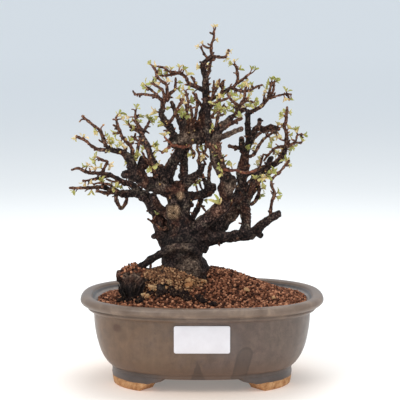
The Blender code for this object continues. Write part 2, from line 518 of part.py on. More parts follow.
def tube_mesh(route, sides, extra=0.0):
    """A tapering tube along the route as a mesh, its caps welded on. Extra mm
    widen and lengthen it evenly, as for the hole that it stands in."""
    curve = bpy.data.curves.new("tube", "CURVE")
    curve.dimensions = "3D"
    curve.bevel_depth = MM
    curve.bevel_resolution = (sides - 4) // 2
    curve.use_fill_caps = True
    spline = curve.splines.new("POLY")
    spline.points.add(len(route) - 1)
    for target, (point, radius) in zip(spline.points, route):
        target.co = (*(point * MM), 1.0)
        target.radius = radius + extra
    if extra:
        for end, inner in ((0, 1), (-1, -2)):
            outward = (route[end][0] - route[inner][0]).normalized() * extra
            spline.points[end].co = (*((route[end][0] + outward) * MM), 1.0)
    obj = bpy.data.objects.new("tube", curve)
    bpy.context.scene.collection.objects.link(obj)
    bpy.context.view_layer.update()
    graph = bpy.context.evaluated_depsgraph_get()
    mesh = bpy.data.meshes.new_from_object(obj.evaluated_get(graph))
    bpy.data.objects.remove(obj, do_unlink=True)
    bpy.data.curves.remove(curve)
    bm = bmesh.new()
    bm.from_mesh(mesh)
    bmesh.ops.remove_doubles(bm, verts=bm.verts, dist=1e-6)
    bmesh.ops.recalc_face_normals(bm, faces=bm.faces)
    bm.to_mesh(mesh)
    bm.free()
    return mesh


def add_object(name, mesh, matrix, collection):
    obj = bpy.data.objects.new(name, mesh)
    obj.matrix_world = matrix
    collection.objects.link(obj)
    return obj


def uneven(route, draw):
    """Swells and narrows a route's radii as an old, knotty limb does."""
    return [(point, radius * (1 + WOOD_UNEVENNESS * draw.uniform(-1, 1))) for point, radius in route]


def sides_for(radius):
    for thinner, sides in ((9, 12), (5.5, 8), (2.5, 6)):
        if radius > thinner:
            return sides
    return 4


def tuft_mesh():
    """A notched blade of length 1 with thickness 1 at its middle: a two-sided
    cone whose rim is moved to the outline, the side lobes cupped upwards."""
    bm = bmesh.new()
    bmesh.ops.create_uvsphere(bm, u_segments=len(TUFT_OUTLINE), v_segments=2, radius=1.0)
    rim = [vert for vert in bm.verts if abs(vert.co.z) < 0.5]
    rim.sort(key=lambda vert: math.atan2(vert.co.y, vert.co.x))
    for vert, (along, across) in zip(rim, TUFT_OUTLINE):
        vert.co = (along, across, abs(across) * TUFT_CUP * 6)
    for vert in bm.verts:
        if vert not in rim:
            vert.co = (0.55, 0, math.copysign(0.5, vert.co.z))
    bmesh.ops.recalc_face_normals(bm, faces=bm.faces)
    mesh = bpy.data.meshes.new("blade")
    bm.to_mesh(mesh)
    bm.free()
    return mesh


def ball_mesh(subdivisions):
    bm = bmesh.new()
    bmesh.ops.create_icosphere(bm, subdivisions=subdivisions, radius=1.0)
    mesh = bpy.data.meshes.new("ball")
    bm.to_mesh(mesh)
    bm.free()
    return mesh


def spur_mesh():
    bm = bmesh.new()
    bmesh.ops.create_cone(bm, cap_ends=True, segments=3, radius1=1.1, radius2=0.7, depth=2.0)
    mesh = bpy.data.meshes.new("spur")
    bm.to_mesh(mesh)
    bm.free()
    return mesh


def frame_matrix(middle, forward, across, sizes):
    """Turns and scales a unit shape: its X runs forward and its Y across."""
    x_axis = forward.normalized()
    z_axis = x_axis.cross(across).normalized()
    y_axis = z_axis.cross(x_axis)
    matrix = Matrix((x_axis * sizes[0], y_axis * sizes[1], z_axis * sizes[2])).transposed().to_4x4()
    matrix.translation = middle
    return matrix


def sideways(direction, draw):
    """A random direction square to this one."""
    while True:
        other = Vector((draw.uniform(-1, 1), draw.uniform(-1, 1), draw.uniform(-1, 1)))
        across = other - direction * other.dot(direction)
        if across.length > 0.3:
            return across.normalized()


def nearest_wood(wood, x, height, thickest):
    """The twig point that shows nearest to (x, height) from the front."""
    best = None
    for point, radius, along in wood:
        share = VIEW_DISTANCE / (VIEW_DISTANCE + point.y)
        away = math.hypot(point.x * share - x, EYE_HEIGHT + (point.z - EYE_HEIGHT) * share - height)
        if radius <= thickest and (best is None or away < best[0]):
            best = (away, point, radius, along)
    return best


def grow_route(name, limb, routes, draw):
    """Works out one limb's smooth route, starting at its parent's depth."""
    parent, start_radius, end_radius, lean, points = limb
    first = points[0]
    if parent == "burl_fork":
        depth = BURLS[7][1]
    else:
        wood = [(point, radius, None) for point, radius in routes[parent]]
        depth = nearest_wood(wood, *first, 99)[1].y
    lengths = [0.0]
    for a, b in zip(points, points[1:]):
        lengths.append(lengths[-1] + math.dist(a, b))
    shares = [length / lengths[-1] for length in lengths]
    placed = [seen(x, depth + lean * share ** 1.15, z) for (x, z), share in zip(points, shares)]
    radii = [start_radius + (end_radius - start_radius) * share ** 0.8 for share in shares]
    spacing = THICK_SPACING if start_radius > 2.4 else THIN_SPACING
    routes[name] = uneven(smooth_route(placed, radii, spacing), draw)


def add_tuft(root, along, size, blades, blade, pieces, draw):
    """Young leaves that fan out from one point of a twig."""
    turn = sideways(along, draw)
    spread = 0.0 if blades == 1 else 0.6
    for i in range(blades):
        side = Matrix.Rotation(math.tau * i / blades + draw.uniform(-0.4, 0.4), 3, along) @ turn
        forward = (along + side * spread * draw.uniform(0.7, 1.2)).normalized()
        length = size * draw.uniform(0.9, 1.1) * MM
        start = (root - forward * 0.6) * MM
        sizes = (length, length, TUFT_THICKNESS * MM)
        across = side.cross(forward)
        add_object("leaf", blade, frame_matrix(start, forward, across, sizes), pieces)


def add_leaves(wood, tips, pieces, draw):
    blade = tuft_mesh()
    for x, height in LEAF_SPOTS:
        away, root, radius, along = nearest_wood(wood, x, height, THICKEST_LEAFY_WOOD)
        target = seen(x, root.y, height)
        outward = (target - root) + sideways(along, draw) * 1.2 + along * 0.6
        size = min(max(away + 3.0, draw.uniform(*TUFT_LENGTH)), 9.5)
        blades = 2 if draw.random() < SECOND_BLADE_SHARE else 1
        add_tuft(root, outward.normalized(), size, blades, blade, pieces, draw)
    away, root, radius, along = nearest_wood(wood, *BIG_TUFT, 20)
    front = Vector((-0.25, -1.0, 0.45)).normalized()
    add_tuft(root + front * (radius - 0.6), front, 11.0, 3, blade, pieces, draw)
    for point, along in tips:
        add_tuft(point, along, draw.uniform(*TUFT_LENGTH), 1, blade, pieces, draw)
    ball = ball_mesh(1)
    for x, height in BUD_SPOTS:
        away, root, radius, along = nearest_wood(wood, x, height, 99)
        front = Vector((0, -1, 0.3)).normalized()
        size = draw.uniform(1.4, 1.9)
        spot = root + front * (radius + size * 0.3)
        add_object("bud", ball, frame_matrix(spot * MM, front, Vector((1, 0, 0)), (size * MM,) * 3), pieces)


def add_spurs(routes, pieces, draw):
    """Short blunt spurs, the stubs of old shoots, along the thicker wood."""
    spur = spur_mesh()
    for name in list(LIMBS) + list(DEPTH_LIMBS):
        route = routes[name]
        travelled = draw.uniform(0, SPUR_SPACING)
        for (a, radius), (b, _) in zip(route, route[1:]):
            travelled += (b - a).length
            if travelled < SPUR_SPACING or not 1.5 < radius < 8:
                continue
            travelled = draw.uniform(-4, 3)
            side = sideways((b - a).normalized(), draw)
            forward = (side + (b - a).normalized() * 0.5).normalized()
            reach = draw.uniform(1.2, 2.6)
            middle = (a + forward * (radius * 0.6 + reach / 2)) * MM
            half = (radius * 0.4 + reach / 2) * MM
            width = draw.uniform(0.8, 1.3) * MM
            matrix = frame_matrix(middle, forward, b - a, (half, width, width)) @ Matrix.Rotation(math.pi / 2, 4, "Y")
            add_object("spur", spur, matrix, pieces)


def main_body(obj):
    """Keeps the largest connected body of a mesh and drops every loose scrap."""
    bm = bmesh.new()
    bm.from_mesh(obj.data)
    bodies = []
    waiting = set(bm.verts)
    while waiting:
        body = [waiting.pop()]
        for vert in body:
            for edge in vert.link_edges:
                other = edge.other_vert(vert)
                if other in waiting:
                    waiting.remove(other)
                    body.append(other)
        bodies.append(body)
    bodies.sort(key=len)
    for scrap in bodies[:-1]:
        bmesh.ops.delete(bm, geom=scrap, context="VERTS")
    bm.to_mesh(obj.data)
    bm.free()


def turns_little(edge, place):
    """Whether the faces round an edge keep their direction if it shrinks to a place."""
    for vert in edge.verts:
        for face in vert.link_faces:
            if edge in face.edges:
                continue
            before = normal([corner.co for corner in face.verts])
            after = normal([place if corner in edge.verts else corner.co for corner in face.verts])
            if after.dot(before) < LEAST_TURN_COSINE:
                return False
    return True


def merge_short_edges(obj):
    """Shrinks the shortest edges that the union left where pieces meet, each
    only where the surface stays closed and keeps its directions."""
    bm = bmesh.new()
    bm.from_mesh(obj.data)
    bmesh.ops.triangulate(bm, faces=bm.faces)
    for _ in range(2):
        lengths = sorted((edge.calc_length(), i) for i, edge in enumerate(bm.edges))
        bm.edges.ensure_lookup_table()
        for edge in [bm.edges[i] for length, i in lengths if length < SHORTEST_EDGE]:
            if not edge.is_valid:
                continue
            first, second = edge.verts
            corners = {vert for face in edge.link_faces for vert in face.verts} - {first, second}
            beside = {e.other_vert(first) for e in first.link_edges} & {e.other_vert(second) for e in second.link_edges}
            if beside != corners or len(corners) != 2 or any(len(vert.link_edges) < 4 for vert in corners):
                continue
            for place in (second.co.copy(), first.co.copy(), (first.co + second.co) / 2):
                if turns_little(edge, place):
                    bmesh.ops.pointmerge(bm, verts=[first, second], merge_co=place)
                    break
    bm.to_mesh(obj.data)
    bm.free()


def rooted_pieces(draw):
    """Each piece that reaches into the soil, as (name, route, sides)."""
    routes = {}
    trunk = smooth_route([seen(*point) for point in TRUNK], TRUNK_RADII, THICK_SPACING)
    routes["trunk"] = uneven(trunk, draw)
    routes["stump"] = uneven(smooth_route([seen(*point) for point in STUMP], STUMP_RADII, THICK_SPACING), draw)
    for name, (start, end, points) in ROOTS.items():
        radii = [start + (end - start) * i / (len(points) - 1) for i in range(len(points))]
        routes[name] = uneven(smooth_route([seen(*point) for point in points], radii, THIN_SPACING), draw)
    return routes


def make_tree(parts, cutters):
    draw = random.Random(SEED)
    pieces = new_collection("tree pieces")
    routes = rooted_pieces(draw)
    for name, route in routes.items():
        sides = sides_for(max(radius for _, radius in route))
        add_object(name, tube_mesh(route, sides), Matrix(), pieces)
        add_object(name, tube_mesh(route, sides, GAP / MM + 0.1), Matrix(), cutters)
    limb_names = []
    for name, limb in {**LIMBS, **DEPTH_LIMBS}.items():
        grow_route(name, limb, routes, draw)
        limb_names.append(name)
        add_object(name, tube_mesh(routes[name], sides_for(limb[1])), Matrix(), pieces)
    for x, depth, height, *sizes in [FOOT_BURL] + BURLS:
        ball = ball_mesh(2 if max(sizes) > 7.5 else 1)
        middle = seen(x, depth, height) * MM
        half = [size * MM for size in sizes]
        add_object("burl", ball, Matrix.LocRotScale(middle, None, Vector(half)), pieces)
        if height < SOIL_EDGE + MOUND_HEIGHT:
            wider = [size * MM + GAP + 0.1 * MM for size in sizes]
            add_object("burl", ball, Matrix.LocRotScale(middle, None, Vector(wider)), cutters)
    wood = []
    for name in limb_names:
        route = routes[name]
        for (a, radius), (b, _) in zip(route, route[1:]):
            wood.append((a, radius, (b - a).normalized()))
        wood.append((route[-1][0], route[-1][1], (route[-1][0] - route[-2][0]).normalized()))
    tips = []
    for name in DEPTH_LIMBS:
        route = routes[name]
        if route[-1][1] < 1.6:
            tips.append((route[-1][0], (route[-1][0] - route[-2][0]).normalized()))
            tips.append((route[-2][0], sideways((route[-1][0] - route[-2][0]).normalized(), draw)))
    add_spurs(routes, pieces, draw)
    add_leaves(wood, tips, pieces, draw)
    first = pieces.objects["trunk"]
    tree = bpy.data.objects.new("tree", first.data)
    parts.objects.link(tree)
    bpy.data.objects.remove(first, do_unlink=True)
    boolean(tree, pieces, "UNION", "MANIFOLD")
    empty_collection(pieces)
    main_body(tree)
    merge_short_edges(tree)
    return tree


# Label


def wall_front(x, height):
    """How far in front of the middle the pot's outside is, all in mm."""
    for low, high in zip(POT_OUTSIDE, POT_OUTSIDE[1:]):
        if low[2] <= height <= high[2]:
            share = (height - low[2]) / (high[2] - low[2])
            half_length = low[0] + share * (high[0] - low[0])
            half_width = low[1] + share * (high[1] - low[1])
            return half_width * (1 - abs(x / half_length) ** OVAL_POWER) ** (1 / OVAL_POWER)
    return POT_OUTSIDE[-1][1]


def make_label(parts):
    """A blank tag with rounded corners that follows the wall of the pot."""
    half = LABEL_WIDTH / 2
    columns = [-half, -half + LABEL_CORNER, -15, -10, -5, 0, 5, 10, 15, half - LABEL_CORNER, half]
    rows = [LABEL_BOTTOM, LABEL_BOTTOM + LABEL_CORNER, 38, 44, LABEL_TOP - LABEL_CORNER, LABEL_TOP]
    bm = bmesh.new()
    grid = []
    for height in rows:
        line = []
        for x in columns:
            at_corner = abs(x) == half and height in (LABEL_BOTTOM, LABEL_TOP)
            cut = LABEL_CORNER * 0.3 if at_corner else 0.0
            place_x = x - math.copysign(cut, x)
            place_z = height + math.copysign(cut, rows[2] - height)
            line.append(bm.verts.new(mm((place_x, -wall_front(place_x, place_z) - GAP / MM, place_z))))
        grid.append(line)
    for low, high in zip(grid, grid[1:]):
        for i in range(len(columns) - 1):
            bm.faces.new((low[i], low[i + 1], high[i + 1], high[i]))
    label = add_mesh("label", bm, parts)
    thick = label.modifiers.new("Thickness", "SOLIDIFY")
    thick.thickness = LABEL_THICKNESS * MM
    thick.offset = 1.0
    return label


def stand_on_origin(parts):
    """Parents every part to an empty, moved so that the box stands on the
    origin by the middle of its underside."""
    bpy.context.view_layer.update()
    graph = bpy.context.evaluated_depsgraph_get()
    corners = []
    for obj in parts.objects:
        evaluated = obj.evaluated_get(graph)
        corners += [evaluated.matrix_world @ Vector(corner) for corner in evaluated.bound_box]
    low = Vector([min(corner[i] for corner in corners) for i in range(3)])
    high = Vector([max(corner[i] for corner in corners) for i in range(3)])
    base = bpy.data.objects.new("flowering_quince_bonsai_base", None)
    base.location = (-(low.x + high.x) / 2, -(low.y + high.y) / 2, -low.z)
    bpy.context.scene.collection.objects.link(base)
    for obj in parts.objects:
        obj.parent = base


def main():
    clear_scene()
    parts = new_collection("flowering_quince_bonsai")
    cutters = new_collection("cutters", hidden=True)
    pot = make_pot(parts)
    screens = [make_screen("drain_screen_left", -1, parts), make_screen("drain_screen_right", 1, parts)]
    soil = make_soil(parts)
    tree = make_tree(parts, cutters)
    boolean(soil, cutters, "DIFFERENCE")
    main_body(soil)
    for cutter in cutters.objects:
        cutter.hide_render = True
        cutter.display_type = "WIRE"
    label = make_label(parts)
    pot.data.materials.append(principled("brown grey glaze", (0.155, 0.122, 0.095), 0.38))
    for screen in screens:
        screen.data.materials.append(principled("black plastic", (0.02, 0.02, 0.02), 0.5))
    soil.data.materials.clear()
    soil.data.materials.append(principled("red brown granules", (0.19, 0.062, 0.03), 0.95))
    tree.data.materials.clear()
    tree.data.materials.append(principled("dark bark", (0.055, 0.038, 0.028), 0.85))
    label.data.materials.append(principled("white card", (0.88, 0.87, 0.88), 0.5))
    stand_on_origin(parts)


main()
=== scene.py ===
"""Looks of a flowering quince bonsai that is leafing out, in an oval glazed pot.

Lengths in the tables are mm: x and y from the middle of the pot, and height
above a level that puts the pot's lip at LIP_TOP, a little above the feet's
soles. MM and POT_MIDDLE turn them into the frame's metres.
"""

import itertools
import math
import random

import bmesh
import bpy
import numpy as np
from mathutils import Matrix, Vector
from mathutils.bvhtree import BVHTree
from mathutils.kdtree import KDTree


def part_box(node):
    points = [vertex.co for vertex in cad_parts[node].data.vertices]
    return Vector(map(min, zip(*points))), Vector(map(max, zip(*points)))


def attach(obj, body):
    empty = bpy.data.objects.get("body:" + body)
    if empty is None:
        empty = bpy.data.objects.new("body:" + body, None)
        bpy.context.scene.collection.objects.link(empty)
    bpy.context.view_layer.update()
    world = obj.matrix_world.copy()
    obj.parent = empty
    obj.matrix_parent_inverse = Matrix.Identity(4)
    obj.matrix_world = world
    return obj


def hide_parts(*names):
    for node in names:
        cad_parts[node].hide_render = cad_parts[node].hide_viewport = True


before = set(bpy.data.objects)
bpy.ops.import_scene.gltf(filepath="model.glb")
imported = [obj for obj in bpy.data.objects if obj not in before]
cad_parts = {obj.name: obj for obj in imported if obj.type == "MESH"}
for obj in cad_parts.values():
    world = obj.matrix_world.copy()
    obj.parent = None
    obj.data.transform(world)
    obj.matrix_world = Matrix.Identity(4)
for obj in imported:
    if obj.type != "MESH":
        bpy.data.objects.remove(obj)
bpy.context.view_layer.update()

MM = 0.001
SEED = 2607
POT_LOW, POT_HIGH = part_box("pot")
LIP_TOP = 67.0
POT_MIDDLE = Vector(((POT_LOW.x + POT_HIGH.x) / 2, (POT_LOW.y + POT_HIGH.y) / 2, POT_HIGH.z - LIP_TOP * MM))
LABEL_LOW, LABEL_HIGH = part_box("label")


def rows(text):
    """Rows of numbers from a table such as "1 2, 3 4"."""
    return [tuple(map(float, row.split())) for row in text.split(",")]


def named_rows(text):
    """Words and rows by name, from a table such as "name word word, 1 2, 3 4;"."""
    table = {}
    for entry in text.strip("; \n").split(";"):
        head, points = entry.split(",", 1)
        name, *words = head.split()
        table[name] = (words, rows(points))
    return table


# Pot: half length, half width and height of each ring, as in the CAD pot.
OVAL_POWER = 2.5
POT_OUTSIDE = rows("""69.5 50.5 7.6, 72 53 8.6, 72.4 53.3 11, 76 55.8 14.2, 80.4 58 21, 83.8 59.5 31, 85.9 60.4 43,
    86.8 61 54.5""")
POT_LIP = rows("""89.6 63.2 55.4, 91.6 65 57.4, 91.4 64.8 59.4, 94.6 67.8 60, 96.8 69.8 62.2, 96.8 69.8 64.4,
    95 68 66.4, 92 65.2 67, 88.8 62.2 66.4, 87.4 60.8 64.8""")
POT_INSIDE = rows("82 56.4 58, 80.4 55.6 48, 78 54 34, 73 51 22, 66 46 15")
POT_SIDES = 168
RING_STEPS = 4
# Feet: height, first and last angle along the oval, inset of the outer face.
FOOT_LEVELS = rows("""-3.2 15 51 1.2, -2.2 14 52.5 0.3, 1.4 12 56 -0.2, 4.4 10 62 -0.3, 6.2 7 69 -0.3,
    11 6 70 0.6""")
FOOT_DEPTH = 15.0
FOOT_ARC_POINTS = 18
DRAIN_HOLE_RADIUS = 6.0
DRAIN_HOLE_X = 32.0
DRAIN_HOLE_SIDES = 40
LABEL_CORNER = 1.6
LABEL_GAP = 0.35
# Glaze: where the bare clay ends, where the dark band at the foot ends, where
# the rim's own colour starts, and the oval that parts the rim from the inside.
GLAZE_EDGE = 3.4
BAND_TOP = (12.6, 11.4)
RIM_FOOT = (55, 60)
INSIDE_FOOT = (56.0, 57.5)
INSIDE_OVAL = (87.6, 61.0)

# Soil: the mound behind the trunk and the old root ball on a level bed.
SOIL_EDGE = 60.5
SOIL_FLOOR = 16.6
MOUND_HEIGHT = 26.1
MOUND_MIDDLE = (5.0, 8.0)
MOUND_SPREAD_X = 38.0
MOUND_SPREAD_FRONT = 27.0
MOUND_SPREAD_BACK = 22.0
ROOT_BALL_HEIGHT = 16.0
ROOT_BALL_MIDDLE = (-37.0, -9.0)
ROOT_BALL_SPREAD = (16.0, 13.0)
BED_SIDES = 96
BED_RINGS = 42
BED_BELOW_GRAINS = 2.2
GRAIN_SPACING = 1.92
GRAIN_SIZES = (0.75, 1.3)
GRAIN_TILT = 0.9
# Granules this much above the level bed count as the mound's.
MOUND_FROM = 3.5
# The old root ball's finer, ochre soil between the stump and the trunk.
OCHRE_MIDDLE = (-24.0, -17.0)
OCHRE_SPREAD = (25.0, 11.5)
OCHRE_SPACING = 1.25
OCHRE_SIZES = (0.45, 0.9)
# How rough and how boxy loose grains are.
GRAIN_FORM = (0.3, 0.45)
PEBBLE_FORM = (0.45, 0.4)
MOSS_FORM = (0.35, 0.3)
CRUMBS_PER_PEBBLE_MM = 4
MOSS_CRUMBS = 90
MOSS_FIBRES = 14
# Pebbles and moss clumps: x, y and reach.
PEBBLES = rows("""-42.9 -29.8 2.3, -38.9 -25.2 3, -9.5 -18 3.5, -10.5 -22 2.6, 1.6 -16.5 1.9, -26 -21.5 2.4,
    35.4 -18.8 1.7, -33 -22 1.5, -4.8 -14.5 1.8, -46 -27.5 1.6, -28 -25 1.3, 56 -22 1.3""")
MOSS_CLUMPS = rows("""-25 -27.2 3.4, -21.1 -29.2 3.2, -14 -30 3.6, -10.9 -34 3, -2.3 -33 3.2, 0.8 -37.5 2.6,
    8.5 -41.5 2.4, -32.8 -28.5 2.6, -48.3 -31.5 3, -56.5 -26 3.6, -63 -24 3.2, -41 -27 2.2""")

# Ochre soil that clings to the front of the old root and the trunk's foot: x and
# height along its upper and lower edges, seen from the front.
CRUST_TOP = rows("-47 84.5, -44.5 87.5, -31 88, -25.5 87, -20 85, -13 82, -6 79, 1 76.5")
CRUST_FOOT = rows("-47 80, -42 77.5, -37 74.5, -27 74, 1 74")
CRUST_SPACING = 1.05
CRUST_SIZES = (0.6, 1.05)
# Red crumbs and dry fibres on top of the old stump, and the crumbs' pile.
STUMP_CRUMBS = 130
STUMP_FIBRES = 16
CRUMB_PILE_X = -54.5
CRUMB_PILE_REACH = 4.5
CRUMB_PILE_HEIGHT = 4.6
# Wiry roots round the old stump: the x they start at, the depth and height of
# the stump's middle with its half sizes there, and the x they gather towards.
FINE_ROOTS = 150
FINE_ROOT_X = (-66, -44)
STUMP_MIDDLE = (-16, 79)
STUMP_HALF = (7.0, 6.0)
FINE_ROOT_FOOT_X = -54.5

# The front view is drawn in the trunk's plane, as seen from this far and high.
VIEW_DISTANCE = 1200.0
EYE_HEIGHT = 310.0
CAMERA_DISTANCE = 1229.0
AIM = (-1.6, 141.4)
FIELD_OF_VIEW = 14.6

# Routes of wood: x, depth and height of each point, depth growing to the back.
TRUNK = rows("""-14 0 52, -14 0 70, -14 0 79, -14.5 0 86, -16 0 94, -16.8 0 101, -16 1 109, -17.5 1 119,
    -18.2 0 129, -17.6 -1 139, -20 -2 150""")
TRUNK_RADII = [16.5, 18.5, 18.2, 17.4, 17.0, 16.4, 15.2, 11.0, 9.2, 8.0, 7.0]
STUMP = rows("""-68.5 -16 79.8, -65 -16 79.8, -58 -15.5 80.2, -50 -14 80, -42 -12 79.2, -32 -9 78.8,
    -22 -4 77.5""")
STUMP_RADII = [3.4, 4.8, 5.8, 6.4, 7.0, 7.8, 9]
# Roots: name, first and last radius, then the route.
ROOTS = named_rows("""
arching 3 3, -56 -13 83.5, -46 -15 89.5, -38 -16 95.5, -30 -17 100, -21.5 -18.5 103, -13.5 -18.5 103.5, -5.5 -16 100,
    -3 -12 93, 0 -10 82, 3 -10 70;
rootlet 1 1, -41 -15.5 94, -41 -15 88, -42 -14 80, -42 -14 74;
stump_under 7.6 5, -56 -15 79, -55 -17 70, -54.5 -18 61, -54 -18 54;
stump_front 3 2, -59 -20 79, -58.5 -23 72, -57 -25 64, -56 -26 56;
stump_end 2.8 1.8, -64 -16 80, -61.5 -17 72, -59.5 -18 64, -58 -18 56;
stump_inner 3 1.8, -50 -19 78, -50.5 -22 71, -51 -24 64, -51 -25 56;
stump_back 3 1.8, -60 -10 80, -60 -8 71, -59 -7 63, -58 -7 56;
right 7.4 3, -7 2 90, 2 4 83, 11 6 76, 19 8 69, 26 9 62;
back 8 3, -12 8 92, -10 17 85, -8 24 77, -6 31 67, -5 36 60;
back_left 7 3, -22 6 90, -31 12 83, -39 17 74, -46 20 65, -50 22 58;
front_left 6 3, -22 -9 88, -27 -14 83, -31 -20 75, -34 -25 66, -36 -28 60;
""")
# Burls: x, depth, height, half width, half depth, half height.
BURLS = rows("""-10 -12 85.5 11.5 9 8.5, -22.5 -8 131.3 6.6 7 6.8, -38 0 112 2.6 3 2.2, 1.5 -4 102.5 3 3.4 3.8,
    46 -8 113 2.9 3 2.7, -21 -6 188 5.6 5.4 5, -11 -2 190 5.6 5.6 4.8, -1 0 191 5.4 5.4 5.8,
    7 6 151 5 4.6 4.2, 20.5 -13 154 6.2 5.6 8, 17.4 -12 149 4.8 4.6 6.4, -19.5 -2 153.5 4 4 3.6""")
BURL_FORK = (7, 6, 151)
# Small burls at random places on these limbs.
SMALL_BURLS = 70
SMALL_BURL_SIZES = (1.2, 2.6)
BURLED = ("trunk", "trunk", "outer_left", "thick_left", "front_right", "back_right", "knot", "centre_left",
          "back_centre", "back_left", "low_right")

